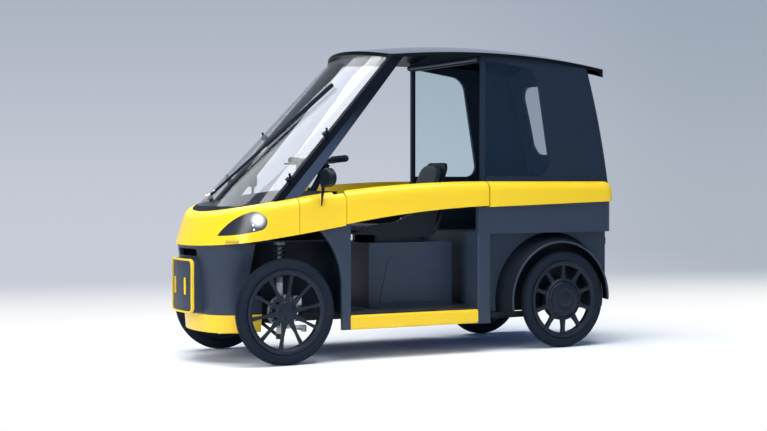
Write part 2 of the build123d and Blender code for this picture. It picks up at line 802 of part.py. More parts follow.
CANOPY = canopy_shell()
BACK_X = WINDOW_FRONT_X - WINDOW_LOW_W - CANOPY_SEAM
BACK_HALF = CANOPY_HALF - CANOPY_SEAM
BACK_ZONE = block(-FAR, BACK_X, -BACK_HALF, BACK_HALF, 0, FAR)


def canopy_sides():
    """Canopy side walls with their window openings."""
    seam = block(-FAR, BACK_X, -BACK_HALF - SEAM_GAP, BACK_HALF + SEAM_GAP, 0, FAR)
    return CANOPY - seam - side_window(0)


def canopy_back():
    """Canopy rear wall with its window opening."""
    return (CANOPY & BACK_ZONE) - (rear_window(0) & block(-FAR, BACK_X, -FAR, FAR, 0, FAR))


def cabin_glass():
    """Side panes and rear pane, set in the thickness of the walls."""
    pane_y = CANOPY_HALF - CANOPY_T / 2
    side = side_window(-GLASS_GAP) & block(-FAR, FAR, pane_y - GLASS_T / 2, pane_y + GLASS_T / 2, 0, FAR)
    outer = side_prism(canopy_profile(CANOPY_T / 2, 0), FAR / 8)
    inner = side_prism(canopy_profile(CANOPY_T / 2 + GLASS_T, FAR), FAR / 4)
    rear = (outer - inner) & rear_window(-GLASS_GAP)
    return pair(side) + rear


def canopy_hoop():
    """Dark hoop at the canopy's open front."""
    x1 = HOOP_FRONT_X
    x0 = HOOP_FRONT_X - HOOP_W
    inner_half = HOOP_HALF - HOOP_W
    outer = block(x0, x1, -HOOP_HALF, HOOP_HALF, CANOPY_BOTTOM_Z - 2 * HOOP_W, ROOF_Z)
    inner = block(x0, x1, -inner_half, inner_half, 0, ROOF_Z - HOOP_HEAD)
    return outer - inner - ABOVE_ROOF


def on_column(start, length, radius):
    """Round piece on the axis of the steering column."""
    return extrude(Plane(origin=COLUMN_FOOT + COLUMN_UP * start, z_dir=COLUMN_UP) * Circle(radius), length)


def screen_cowl():
    """Dark cowl and dash under the windscreen, with the column's collar."""
    ahead = block(HINGE_X + SHUT_GAP + DOOR_T, FAR, -FAR, FAR, 0, FAR)
    inside = Pos(-COWL_SETBACK, 0, 0) * plan_prism(COWL_INSET + FACE_GAP)
    panel = (WAIST - HOLLOW) & ahead & inside
    collar = on_column(COLLAR_AT, COLLAR_H, COLUMN_R + COLLAR_T)
    base_x = (COLUMN_FOOT + COLUMN_UP * COLLAR_AT).X
    web = block(base_x - COLLAR_ROOM, HINGE_X + DASH_REACH, -DASH_HALF, DASH_HALF, *DASH_Z)
    through = on_column(0, COLUMN_LENGTH, COLUMN_R + RUNNING_GAP)
    wide = on_column(0, COLLAR_AT - COLLAR_ROOM, COLUMN_R + MOVING_GAP)
    return (panel + collar + web) - through - wide


def wiper():
    """Single wiper on the windscreen: boss, double arm and blade."""
    lift = WIPER_OUT * WIPER_LIFT
    foot = WIPER_FOOT + lift
    low = BLADE_LOW + lift
    high = BLADE_HIGH + lift
    joint = low * (1 - BLADE_HOLD) + high * BLADE_HOLD
    whole = rod(foot - lift * 1.7, foot + lift / 2, WIPER_BOSS_R) + rod(low, high, BLADE_R)
    for radius, start, end in WIPER_ARMS:
        whole += rod(foot + start, joint + end, radius)
    return whole - WAIST - SCREEN


def mirrors():
    """Door mirrors: rounded heads on blade-shaped stalks."""
    low, high = MIRROR_STALK
    blade = make_face(Polyline(low, (high[0] - MIRROR_STALK_W, high[1]), high, close=True))
    stalk = Pos(0, WAIST_HALF + MIRROR_STALK_T, 0) * side_prism(blade, MIRROR_STALK_T)
    edge = []
    for (start, middle), (end, _) in zip(MIRROR_ARCS, MIRROR_ARCS[1:] + MIRROR_ARCS[:1]):
        edge.append(ThreePointArc(start, middle, end))
    plane = Plane(origin=(MIRROR_X, WAIST_HALF, high[1]), x_dir=(0, 1, 0), z_dir=(1, 0, 0))
    head = extrude(plane * make_face(edge), MIRROR_T / 2, both=True)
    head = fillet(head.faces().sort_by(Axis.X)[-1].edges(), MIRROR_T / 3)
    return pair((stalk + head) - WAIST)


def fender_legs():
    """Dark panels behind the front wheels, carrying the door hinge pins."""
    top, middle, low = ((FRONT_AXLE_X + x, z) for x, z in LEG_ARCH)
    foot_x = LEG_REAR_X + LEG_FOOT_W
    rest = Polyline(low, (foot_x, LEG_BOTTOM_Z), (LEG_REAR_X, LEG_BOTTOM_Z), (LEG_REAR_X, LEG_TOP_Z),
                    (top[0], LEG_TOP_Z), top)
    panel = side_prism(make_face([ThreePointArc(top, middle, low), rest]))
    panel = panel & block(0, FAR, SIDE_HALF - LEG_T, SIDE_HALF, 0, FAR)
    panel = fillet(panel.edges().filter_by(GeomType.CIRCLE).sort_by(Axis.Y)[-1], LEG_LIP_R)
    behind, ahead, inwards = HINGE_LUG
    lug = block(HINGE_X - behind, HINGE_X + ahead, HINGE_Y - inwards, SIDE_HALF, HINGE_LUG_Z, FAR)
    leg = (panel + lug) & below_band()
    pin_top = (BAND_REAR_TOP + BREAK_BOTTOM) / 2 - HINGE_PIN_DROP
    leg += upright(HINGE_X, HINGE_Y, HINGE_ROOT_Z, pin_top, HINGE_PIN_R)
    leg += upright(HINGE_X, HINGE_Y, HINGE_ROOT_Z, HINGE_SEAT_Z - FACE_GAP, HINGE_COLLAR_R)
    return pair(leg)


def arch_liners():
    """Inner walls of the front wheel houses: side, top and rear."""
    x0 = LINER_REAR_X
    y0 = LINER_Y
    y1 = SIDE_HALF - LEG_T
    floor = FLOOR_Z + FLOOR_T
    wall = block(x0, LINER_FRONT_X, y0, y0 + LINER_T, floor, FAR) & below_band()
    roof = block(x0, LINER_FRONT_X, y0, y1, LINER_TOP_Z - LINER_T, LINER_TOP_Z)
    back = block(x0, x0 + LINER_T, y0, y1, floor, LINER_TOP_Z)
    return pair((wall + roof + back) - chin_block(0))


def sills():
    """Yellow sills under the door openings."""
    section = RectangleRounded(SILL_W, FLOOR_Z - SILL_BOTTOM_Z, SILL_R)
    profile = Pos(SIDE_HALF - SILL_W / 2, (SILL_BOTTOM_Z + FLOOR_Z) / 2) * section
    return pair(front_prism(profile) & block(POST_FRONT_X, LEG_REAR_X, 0, FAR, 0, FAR))


def floor_pan():
    """Flat floor, narrow between the front wheels."""
    top = FLOOR_Z + FLOOR_T
    wide = block(POST_REAR_X, LEG_REAR_X, -FLOOR_HALF, FLOOR_HALF, FLOOR_Z, top)
    wide -= pair(block(-FAR, POST_FRONT_X, POST_INNER_Y, FAR, 0, FAR))
    foot_half = LINER_Y + LINER_T
    narrow = block(LEG_REAR_X, CHIN_REAR_X, -foot_half, foot_half, FLOOR_Z, top)
    toe = block(CHIN_REAR_X, RAIL_FRONT_X + TOE_LENGTH, -foot_half, foot_half, FLOOR_Z, top)
    hole = upright(FRONT_AXLE_X, 0, 0, top, SPINDLE_R + MOVING_GAP)
    return (wide + narrow + (toe & chin_block(CHIN_T))) - hole


def quarter_panels():
    """Rear side panels: full width over the shelf, set in below it."""
    ring = plan_prism(WAIST_HALF - SIDE_HALF) - plan_prism(WAIST_HALF - SIDE_HALF + SKIN)
    upper = ring & block(-FAR, POST_FRONT_X, TAIL_SIDE, FAR, SHELF_Z, FAR) & below_band()
    shelf = block(TAIL_X + SKIN, POST_FRONT_X, RECESS_HALF - RECESS_T, FAR, SHELF_Z - SHELF_T, SHELF_Z)
    shelf = shelf & plan_prism(WAIST_HALF - SIDE_HALF)
    inner_y = RECESS_HALF - RECESS_T
    wall = block(TAIL_X + SKIN, POST_FRONT_X, inner_y, RECESS_HALF, RECESS_BOTTOM_Z, SHELF_Z)
    wall += block(GUARD_X, POST_FRONT_X, inner_y, RECESS_HALF, WALL_BOTTOM_Z, RECESS_BOTTOM_Z)
    wheel_house = rod((GUARD_X, inner_y, TYRE_R), (GUARD_X, RECESS_HALF, TYRE_R), GUARD_ROOT_R - GUARD_T)
    wall -= wheel_house + block(-FAR, GUARD_X, inner_y, RECESS_HALF, 0, RECESS_BOTTOM_Z)
    post = block(POST_REAR_X, POST_FRONT_X, POST_INNER_Y, SIDE_HALF, POST_BOTTOM_Z, SHELF_Z)
    post = fillet(post.edges().filter_by(Axis.Z).sort_by(Axis.Y)[-2:], POST_R)
    return pair(upper + shelf + wall + post)


def tail_panel():
    """Rear panel under the band."""
    edge = WAIST_HALF - SIDE_HALF
    ring = plan_prism(edge) - plan_prism(edge + SKIN)
    half = TAIL_SIDE - SEAM_GAP / 3
    top = SHELF_Z - SHELF_T
    upper = ring & block(-FAR, 0, -half, half, top, FAR) & below_band()
    front_x = TAIL_X + edge + TAIL_T
    return upper + block(TAIL_X + edge, front_x, -RECESS_HALF, RECESS_HALF, TAIL_BOTTOM_Z, top)


def tail_lamps():
    """Red lamps on the tail panel."""
    x = TAIL_X + WAIST_HALF - SIDE_HALF
    lamp = front_prism(Pos(*TAIL_LAMP_AT) * RectangleRounded(*TAIL_LAMP_SIZE, TAIL_LAMP_R))
    return pair(lamp & block(x - TAIL_LAMP_T, x, 0, FAR, 0, FAR))


def mudguards():
    """Flared guards over the rear wheels."""
    section = Polyline((RECESS_HALF, GUARD_ROOT_R - GUARD_T), (GUARD_LIP_Y, GUARD_LIP_R - GUARD_T),
                       (GUARD_LIP_Y, GUARD_LIP_R), (RECESS_HALF, GUARD_ROOT_R), close=True)
    centre = (GUARD_X, 0, TYRE_R)
    plane = Plane(origin=centre, x_dir=(0, 1, 0), z_dir=(0, 0, -1))
    ring = revolve(plane * make_face(section), Axis(centre, (0, 1, 0)))
    a0 = radians(GUARD_FRONT_DEG)
    a1 = radians(GUARD_REAR_DEG)
    reach = 2 * GUARD_ROOT_R
    wedge = make_face(Polyline((0, 0), (reach * cos(a0), reach * sin(a0)), (reach, reach), (-reach, reach),
                               (reach * cos(a1), reach * sin(a1)), close=True))
    sector = side_prism(Pos(GUARD_X, TYRE_R) * wedge)
    return pair(ring & sector)


def rear_liners():
    """Inner plates of the rear wheel houses, open under the axles."""
    centre = (GUARD_X, RECESS_HALF - RECESS_T, TYRE_R)
    plate = rod(centre, (GUARD_X, RECESS_HALF, TYRE_R), GUARD_ROOT_R - GUARD_T - FACE_GAP)
    plate = plate & block(-FAR, FAR, 0, FAR, WALL_BOTTOM_Z, FAR)
    axle_x0 = REAR_AXLE_X - HOUSE_SLOT_R
    slot = block(axle_x0, REAR_AXLE_X + HOUSE_SLOT_R, 0, FAR, 0, TYRE_R)
    slot += rod((REAR_AXLE_X, 0, TYRE_R), (REAR_AXLE_X, FAR, TYRE_R), HOUSE_SLOT_R)
    return pair(plate - slot)


def bulkhead():
    """Wall behind the seat and the load floor behind it."""
    inner = RECESS_HALF - RECESS_T
    half = inner - BULKHEAD_MARGIN
    wall = block(POST_REAR_X, POST_REAR_X + CARGO_T, -half, half, FLOOR_Z + FLOOR_T, CARGO_Z)
    deck = block(DECK_REAR_X, POST_REAR_X + CARGO_T, -inner, inner, CARGO_Z - CARGO_T, CARGO_Z)
    return wall + (deck - pair(block(POST_REAR_X, POST_FRONT_X, half, FAR, 0, FAR)))


def seat_line(lift):
    """Line of the seat in the side view, moved towards the sitter by a lift."""
    front, heel, top = (Vector(*point) for point in (SEAT_FRONT, SEAT_HEEL, SEAT_TOP))
    pan = (front - heel).normalized()
    back = (top - heel).normalized()
    pan_up = Vector(-pan.Y, pan.X)
    back_out = Vector(back.Y, -back.X)
    corner = (pan_up + back_out) * (lift / (1 + pan_up.dot(back_out)))
    stops = (front + pan_up * lift, heel + corner, top + back_out * lift)
    return FilletPolyline(*stops, radius=SEAT_BEND_R - lift)


def seat_front_view(margin):
    """Front outline of the seat: broad pan and a back that narrows to a round top."""
    half = SEAT_HALF - margin
    top = SEAT_TOP[1] + SEAT_CROWN - margin
    neck = SEAT_NECK - margin
    left = [(half, SEAT_BASE_Z), (half, SEAT_WAIST_Z), (neck, SEAT_NECK_Z), (neck, top)]
    right = [(-y, z) for y, z in reversed(left)]
    face = make_face(Polyline(*left, *right, close=True))
    face = fillet([v for v in face.vertices() if v.Y > SEAT_NECK_Z + 1], SEAT_TIP_R)
    waist = [v for v in face.vertices() if SEAT_WAIST_Z - 1 < v.Y < SEAT_NECK_Z + 1]
    return front_prism(fillet(waist, SEAT_WAIST_R))


def seat_shell():
    """Thin bucket: pan, back and side wings."""
    bucket = side_prism(trace(seat_line(0), SEAT_T), SEAT_HALF)
    wing = make_face(Polyline(*[(SEAT_HEEL[0] + x, SEAT_HEEL[1] + z) for x, z in WING_LINE], close=True))
    wings = side_prism(wing) & block(-FAR, FAR, SEAT_HALF - WING_T, SEAT_HALF, 0, FAR)
    return (bucket + pair(wings)) & seat_front_view(0)


def seat_pad():
    """Soft pads on the pan and the back of the seat."""
    lift = (SEAT_T + PAD_T) / 2 + FACE_GAP
    pad = side_prism(trace(seat_line(lift), PAD_T), SEAT_HALF - WING_T - PAD_SIDE_GAP)
    fold = block(-FAR, PAD_FOLD_X, -FAR, FAR, 0, PAD_FOLD_Z)
    return (pad & seat_front_view(PAD_MARGIN)) - fold


def seat_box():
    """Box under the seat with a raised cover on each side and rails on top."""
    outer = block(BOX_REAR_X, BOX_FRONT_X, -SEAT_HALF, SEAT_HALF, FLOOR_Z + FLOOR_T, BOX_TOP_Z)
    half = SEAT_HALF - BOX_T
    inner = block(BOX_REAR_X + BOX_T, BOX_FRONT_X - BOX_T, -half, half, 0, BOX_TOP_Z - BOX_T)
    cover = make_face(Polyline(*[(BOX_REAR_X + x, z) for x, z in COVER_LINE], close=True))
    cover = side_prism(cover) & block(-FAR, FAR, SEAT_HALF, SEAT_HALF + COVER_T, 0, FAR)
    slope = (SEAT_FRONT[1] - SEAT_HEEL[1]) / (SEAT_FRONT[0] - SEAT_HEEL[0])
    under = SEAT_HEEL[1] - SEAT_T / 2 * hypot(1, slope)
    rear, front = ((x, under + slope * (x - SEAT_HEEL[0])) for x in SEAT_RAIL_X)
    base = BOX_TOP_Z - BOX_T / 2
    rail = make_face(Polyline((rear[0], base), (front[0], base), front, rear, close=True))
    rails = side_prism(rail) & block(-FAR, FAR, *SEAT_RAIL_Y, 0, FAR)
    return (outer - inner) + pair(cover) + pair(rails)


def battery():
    """Battery block inside the seat box."""
    ends, sides, head = BATTERY_MARGINS
    half = SEAT_HALF - sides
    return block(BOX_REAR_X + ends, BOX_FRONT_X - ends, -half, half, FLOOR_Z + FLOOR_T, BOX_TOP_Z - head)


def chassis_frame():
    """Welded box-section frame under the floor and behind the seat."""
    z0 = FLOOR_Z - RAIL_H
    half = RAIL_W / 2
    y0 = RAIL_Y - half
    y1 = RAIL_Y + half
    deck = CARGO_Z - CARGO_T
    side = block(ARM_PIVOT_X - half, RAIL_FRONT_X, y0, y1, z0, FLOOR_Z)
    for x in OUTRIGGER_X:
        side += block(x - half, x + half, RAIL_Y, SIDE_HALF - SILL_W, z0, FLOOR_Z)
    side += block(POST_REAR_X - RAIL_W, POST_REAR_X, y0, y1, z0, deck)
    side += block(DECK_REAR_X, POST_REAR_X, y0, y1, deck - RAIL_H, deck)
    frame = pair(side)
    for x in CROSS_X:
        frame += block(x - half, x + half, -RAIL_Y, RAIL_Y, z0, FLOOR_Z)
    reach = RAIL_Y + DECK_CROSS_REACH
    for x in (DECK_REAR_X + half, SHOCK_TOP_X):
        frame += block(x - half, x + half, -reach, reach, deck - RAIL_H, deck)
    pivot_y = ARM_Y + PIVOT_PROUD
    frame += rod((ARM_PIVOT_X, -pivot_y, ARM_PIVOT_Z), (ARM_PIVOT_X, pivot_y, ARM_PIVOT_Z), ARM_PIVOT_R)
    return frame - upright(FRONT_AXLE_X, 0, 0, FLOOR_Z, SPINDLE_R + RUNNING_GAP)


def arm_side():
    """Side outline of a rear trailing arm."""
    x = REAR_AXLE_X
    return Polyline((ARM_PIVOT_X, ARM_PIVOT_Z - ARM_ROOT_HALF), (ARM_PIVOT_X, ARM_PIVOT_Z + ARM_ROOT_HALF),
                    (x, TYRE_R + ARM_TIP_HALF), (x - ARM_TIP, TYRE_R), (x, TYRE_R - ARM_TIP_HALF), close=True)


def suspension_arms():
    """Front lower arms with their kingpin studs, and rear trailing arms with axle stubs."""
    seat_z = UPRIGHT_BOTTOM_Z - FACE_GAP
    low_z = seat_z - ARM_BOSS_H
    front = upright(FRONT_AXLE_X, KINGPIN_Y, low_z, seat_z, ARM_BOSS_R)
    front += upright(FRONT_AXLE_X, KINGPIN_Y, low_z, seat_z + PIN_LENGTH, KINGPIN_R)
    root_y = RAIL_Y + RAIL_W / 2
    for side in (-1, 1):
        inner = (FRONT_AXLE_X + side * WISHBONE_HALF, root_y - WISHBONE_LAP, WISHBONE_Z)
        front += rod(inner, (FRONT_AXLE_X, KINGPIN_Y - WISHBONE_LAP, low_z + WISHBONE_R), WISHBONE_R)
    front -= block(0, FAR, 0, root_y, 0, FAR)
    pivot = [(ARM_PIVOT_X, y, ARM_PIVOT_Z) for y in (ARM_Y - ARM_EYE_HALF, ARM_Y + ARM_EYE_HALF)]
    rear = side_prism(make_face(arm_side())) & block(-FAR, FAR, ARM_Y - ARM_HALF, ARM_Y + ARM_HALF, 0, FAR)
    root = (REAR_AXLE_X, ARM_Y, TYRE_R)
    rear += rod(*pivot, ARM_EYE_R)
    rear += rod(root, (REAR_AXLE_X, REAR_WHEEL_Y + REAR_STUB_END, TYRE_R), AXLE_R)
    rear += rod(root, (REAR_AXLE_X, REAR_WHEEL_Y - REAR_COLLAR_GAP, TYRE_R), STUB_COLLAR_R)
    return pair(front) + pair(rear - rod(*pivot, ARM_PIVOT_R))


def shocks():
    """Front struts over the kingpins and rear spring units."""
    top = LINER_TOP_Z - LINER_T
    base = UPRIGHT_TOP_Z + FACE_GAP
    levels = [(base - STRUT_PIN_H, base, KINGPIN_R), (base, base + STRUT_H, STRUT_R)]
    levels.append((base, top, STRUT_ROD_R))
    strut = upright(FRONT_AXLE_X, KINGPIN_Y, top - STRUT_TOP_H, top, STRUT_TOP_R)
    for z0, z1, radius in levels:
        strut += upright(FRONT_AXLE_X, KINGPIN_Y, z0, z1, radius)
    deck = CARGO_Z - CARGO_T - RAIL_H
    low = Vector(SHOCK_FOOT_X, ARM_Y, TYRE_R - SHOCK_DROP)
    high = Vector(SHOCK_TOP_X, ARM_Y, deck)
    ends = [low + (high - low) * share for share in SHOCK_SPAN]
    unit = (rod(low, high, SHOCK_ROD_R) + rod(*ends, SHOCK_R)) - side_prism(make_face(arm_side()))
    unit = unit & block(-FAR, FAR, 0, FAR, ARM_PIVOT_Z + ARM_TIP_HALF, deck)
    return pair(strut) + pair(unit)


def steering_arm(y):
    """Arm that reaches back to the track rod, with its stud."""
    x = FRONT_AXLE_X
    tip = x - STEER_ARM
    top = STEER_ARM_Z + STEER_ARM_T
    arm = block(tip, x, y - STEER_ARM_HALF, y + STEER_ARM_HALF, STEER_ARM_Z, top)
    arm += upright(tip, y, STEER_ARM_Z, top, TIE_EYE_R)
    return arm + upright(tip, y, STEER_ARM_Z - TIE_EYE_H - STUD_PROUD, STEER_ARM_Z, STUD_R)


def knuckle():
    """Left steering knuckle: upright, stub axle, steering arm and brake caliper."""
    x = FRONT_AXLE_X
    root = (x, KINGPIN_Y, TYRE_R)
    body = upright(x, KINGPIN_Y, UPRIGHT_BOTTOM_Z, UPRIGHT_TOP_Z, UPRIGHT_R) + steering_arm(KINGPIN_Y)
    body += rod(root, (x, FRONT_WHEEL_Y + FRONT_STUB_END, TYRE_R), AXLE_R)
    body += rod(root, (x, FRONT_WHEEL_Y - FRONT_COLLAR_GAP, TYRE_R), STUB_COLLAR_R)
    disc_y = FRONT_WHEEL_Y - DISC_SETBACK
    room = DISC_T / 2 + MOVING_GAP
    back_y = disc_y - CALIPER_BACK
    front_y = disc_y + MOVING_GAP + CALIPER_LIP
    x0, x1 = (x + place for place in CALIPER_X)
    z0, z1 = (TYRE_R + place for place in CALIPER_Z)
    grip = block(x0, x1, back_y, front_y, z0, z1)
    grip -= rod((x, disc_y - room, TYRE_R), (x, disc_y + room - 1, TYRE_R), DISC_R + MOVING_GAP)
    z0, z1 = (TYRE_R + place for place in BRACKET_Z)
    body += grip + block(x + BRACKET_X, x, back_y, disc_y - room, z0, z1)
    low_end = UPRIGHT_BOTTOM_Z + PIN_LENGTH + PIN_ROOM
    high_end = UPRIGHT_TOP_Z - STRUT_PIN_H - PIN_ROOM
    body -= upright(x, KINGPIN_Y, 0, low_end, KINGPIN_R + RUNNING_GAP)
    return body - upright(x, KINGPIN_Y, high_end, ROOF_Z, KINGPIN_R + RUNNING_GAP)


def tie_rod():
    """Track rod with an eye under each steering arm and one under the drop arm."""
    x = FRONT_AXLE_X - STEER_ARM
    z = STEER_ARM_Z - FACE_GAP - TIE_EYE_H
    bar = rod((x, -KINGPIN_Y, z + TIE_EYE_H / 2), (x, KINGPIN_Y, z + TIE_EYE_H / 2), TIE_ROD_R)
    stations = (-KINGPIN_Y, 0, KINGPIN_Y)
    for y in stations:
        bar += upright(x, y, z, z + TIE_EYE_H, TIE_EYE_R)
    for y in stations:
        bar -= upright(x, y, 0, ROOF_Z, STUD_R + RUNNING_GAP)
    return bar


def steering_spindle():
    """Upright spindle with its drop arm and the ball of the column's joint."""
    x = FRONT_AXLE_X
    shaft = upright(x, 0, STEER_ARM_Z, JOINT_Z, SPINDLE_R)
    shaft += upright(x, 0, STEER_ARM_Z, STEER_ARM_Z + STEER_ARM_T, SPINDLE_BOSS_R)
    return shaft + steering_arm(0) + Pos(x, 0, JOINT_Z) * Sphere(JOINT_R)


def handlebar():
    """Leaning column with its joint cup, stem, swept bar, grips and levers."""
    column = on_column(COLUMN_START, COLUMN_LENGTH, COLUMN_R) + on_column(CUP_START, CUP_H, JOINT_R + CUP_T)
    top = COLUMN_FOOT + COLUMN_UP * (COLUMN_START + COLUMN_LENGTH)
    clamp = Vector(*BAR_STOPS[0])
    across = Vector(0, CLAMP_HALF, 0)
    stem = rod(top - COLUMN_UP * STEM_LAP, clamp, STEM_R) + rod(clamp - across, clamp + across, CLAMP_R)
    bar = rod(GRIP_START, BAR_STOPS[-1], GRIP_R)
    for start, end in zip(BAR_STOPS, BAR_STOPS[1:]):
        bar += rod(start, end, BAR_R) + Pos(*end) * Sphere(BAR_R)
    for start, end, radius in zip(LEVER_STOPS, LEVER_STOPS[1:], LEVER_RADII):
        bar += rod(start, end, radius)
    whole = column + stem + bar + mirrored(bar)
    return whole - Pos(*COLUMN_FOOT) * Sphere(JOINT_R + FACE_GAP)


def tyre(x, y):
    """Tyre section turned about its axle."""
    bead = RIM_W / 2 - BEAD_LIP
    base = RIM_R - BEAD_DEPTH + FACE_GAP
    shoulder = (TYRE_W / 2 - TREAD_SIDE, TYRE_R - TREAD_DROP)
    bulge = (TYRE_W / 2, (RIM_R + TYRE_R) / 2)
    edges = [ThreePointArc(shoulder, (0, TYRE_R), (-shoulder[0], shoulder[1]))]
    for side in (-1, 1):
        middle = (side * bulge[0], bulge[1])
        edges.append(ThreePointArc((side * bead, RIM_R), middle, (side * shoulder[0], shoulder[1])))
    edges.append(Polyline((bead, RIM_R), (bead, base), (-bead, base), (-bead, RIM_R)))
    return turned(edges, x, y)


def turned(edges, x, y):
    """Turn a section, drawn as offset from the wheel's middle and radius, about an axle."""
    plane = Plane(origin=(x, y, TYRE_R), x_dir=(0, 1, 0), z_dir=(-1, 0, 0))
    return revolve(plane * make_face(edges), Axis((x, y, TYRE_R), (0, 1, 0)))


def rim_ring(x, y):
    """Deep rim with a lip each side and a bead seat between."""
    half = RIM_W / 2
    lip = half - BEAD_LIP + FACE_GAP
    seat = RIM_R - BEAD_DEPTH
    well = (half - 2 * BEAD_LIP, RIM_WELL_R - SPOKE_ROOT)
    left = [(lip, seat), (lip, RIM_R), (half, RIM_R), (half, seat - BEAD_LIP), well]
    right = [(-across, radius) for across, radius in reversed(left)]
    return turned([Polyline(*left, *right, close=True)], x, y)


def spokes(x, y, inner_r, widths, depth, face_y, turn=0):
    """Evenly spaced tapered spokes between hub and rim."""
    root, waist, tip = widths
    middle = (inner_r + RIM_WELL_R) / 2
    end = RIM_WELL_R - 2
    left = [(root / 2, inner_r), (waist / 2, middle), (tip / 2, end)]
    right = [(-across, radius) for across, radius in reversed(left)]
    outline = make_face(Polyline(*left, *right, close=True))
    one = extrude(Plane.XZ * outline, depth / 2, both=True)
    spread = [Rot(0, turn + 360 / SPOKE_COUNT * i, 0) * one for i in range(SPOKE_COUNT)]
    return [Pos(x, y + face_y, TYRE_R) * spoke for spoke in spread]


def front_wheel():
    """Left front wheel: rim, slim spokes, hub and brake disc."""
    x = FRONT_AXLE_X
    y = FRONT_WHEEL_Y
    bore = AXLE_R + RUNNING_GAP
    hub = Polyline((FRONT_HUB[0][0], bore), *FRONT_HUB, (FRONT_HUB[-1][0], bore), close=True)
    inner = -DISC_SETBACK - DISC_T / 2
    outer = -DISC_SETBACK + DISC_T / 2
    disc = Polyline((inner, DISC_SEAT[-1][1]), (inner, DISC_R), (outer, DISC_R), (outer, DISC_SEAT[0][1]),
                    *DISC_SEAT[1:], close=True)
    wheel = rim_ring(x, y) + turned([hub], x, y) + turned([disc], x, y)
    for spoke in spokes(x, y, FRONT_HUB_R - SPOKE_ROOT, *FRONT_SPOKE, FRONT_SPOKE_TURN):
        wheel += spoke
    return wheel


def rear_wheel():
    """Left rear wheel: rim, short broad spokes and a round hub motor."""
    x = REAR_AXLE_X
    y = REAR_WHEEL_Y
    bore = AXLE_R + RUNNING_GAP
    motor = Polyline((MOTOR_HUB[0][0], bore), *MOTOR_HUB, (MOTOR_HUB[-1][0], bore), close=True)
    wheel = rim_ring(x, y) + turned([motor], x, y)
    for spoke in spokes(x, y, MOTOR_R - SPOKE_ROOT, *REAR_SPOKE):
        wheel += spoke
    return wheel


LEFT_TYRE_FRONT = tyre(FRONT_AXLE_X, FRONT_WHEEL_Y)
LEFT_TYRE_REAR = tyre(REAR_AXLE_X, REAR_WHEEL_Y)
LEFT_WHEEL_FRONT = front_wheel()
LEFT_WHEEL_REAR = rear_wheel()
LEFT_KNUCKLE = knuckle()
LEFT_DOOR = door_bar()

NODES = {
    "nose_cowl": nose_cowl(),
    "fender_bands": fender_bands(),
    "rear_band": rear_band(),
    "nose_chin": nose_chin(),
    "front_lip": front_lip(),
    "hatch_trim": hatch_trim(),
    "front_hatch": front_hatch(),
    "headlamps": headlamps(),
    "screen_cowl": screen_cowl(),
    "windscreen": SCREEN,
    "front_pillars": front_pillars(),
    "roof_panel": roof_panel(),
    "canopy_hoop": canopy_hoop(),
    "canopy_sides": canopy_sides(),
    "canopy_back": canopy_back(),
    "cabin_glass": cabin_glass(),
    "wiper": wiper(),
    "mirrors": mirrors(),
    "fender_legs": fender_legs(),
    "arch_liners": arch_liners(),
    "sills": sills(),
    "floor_pan": floor_pan(),
    "quarter_panels": quarter_panels(),
    "tail_panel": tail_panel(),
    "tail_lamps": tail_lamps(),
    "mudguards": mudguards(),
    "rear_liners": rear_liners(),
    "bulkhead": bulkhead(),
    "seat_shell": seat_shell(),
    "seat_pad": seat_pad(),
    "seat_box": seat_box(),
    "battery": battery(),
    "chassis_frame": chassis_frame(),
    "suspension_arms": suspension_arms(),
    "shocks": shocks(),
    "door_bar_left": LEFT_DOOR,
    "door_bar_right": mirrored(LEFT_DOOR),
    "knuckle_left": LEFT_KNUCKLE,
    "knuckle_right": mirrored(LEFT_KNUCKLE),
    "tie_rod": tie_rod(),
    "steering_spindle": steering_spindle(),
    "handlebar": handlebar(),
    "front_tyre_left": LEFT_TYRE_FRONT,
    "front_tyre_right": mirrored(LEFT_TYRE_FRONT),
    "front_wheel_left": LEFT_WHEEL_FRONT,
    "front_wheel_right": mirrored(LEFT_WHEEL_FRONT),
    "rear_tyre_left": LEFT_TYRE_REAR,
    "rear_tyre_right": mirrored(LEFT_TYRE_REAR),
    "rear_wheel_left": LEFT_WHEEL_REAR,
    "rear_wheel_right": mirrored(LEFT_WHEEL_REAR),
}

os.makedirs("parts", exist_ok=True)
for name, shape in NODES.items():
    export_step(shape, f"parts/{name}.step")
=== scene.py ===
import json
from math import atan2, cos, hypot, pi, radians, sin

import bpy
from mathutils import Matrix, Vector


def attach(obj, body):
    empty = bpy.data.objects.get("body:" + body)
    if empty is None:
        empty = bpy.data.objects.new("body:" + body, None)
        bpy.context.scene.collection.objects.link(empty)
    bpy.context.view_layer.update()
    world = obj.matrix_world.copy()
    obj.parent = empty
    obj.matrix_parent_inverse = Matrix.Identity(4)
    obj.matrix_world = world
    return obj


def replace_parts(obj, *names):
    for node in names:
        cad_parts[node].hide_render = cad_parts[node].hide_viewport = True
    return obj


# Roofed four-wheel electric microcar, in metres: +X forwards, +Y the vehicle's left, +Z up.

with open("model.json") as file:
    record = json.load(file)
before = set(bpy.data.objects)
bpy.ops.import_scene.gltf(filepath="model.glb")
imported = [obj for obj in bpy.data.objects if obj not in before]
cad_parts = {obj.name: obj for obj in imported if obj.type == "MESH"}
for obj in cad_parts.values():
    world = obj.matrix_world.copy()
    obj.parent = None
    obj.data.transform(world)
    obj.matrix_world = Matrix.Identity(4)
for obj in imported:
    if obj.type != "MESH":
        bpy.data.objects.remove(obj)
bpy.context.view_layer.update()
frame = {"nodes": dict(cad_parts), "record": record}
nodes = frame["nodes"]

LEFT = Vector((0, 1, 0))
UP = Vector((0, 0, 1))
FORWARD = Vector((1, 0, 0))
BACKWARD = Vector((-1, 0, 0))
ROUND_Y = (pi / 2, 0, 0)
SQUARE_ON = 0.9

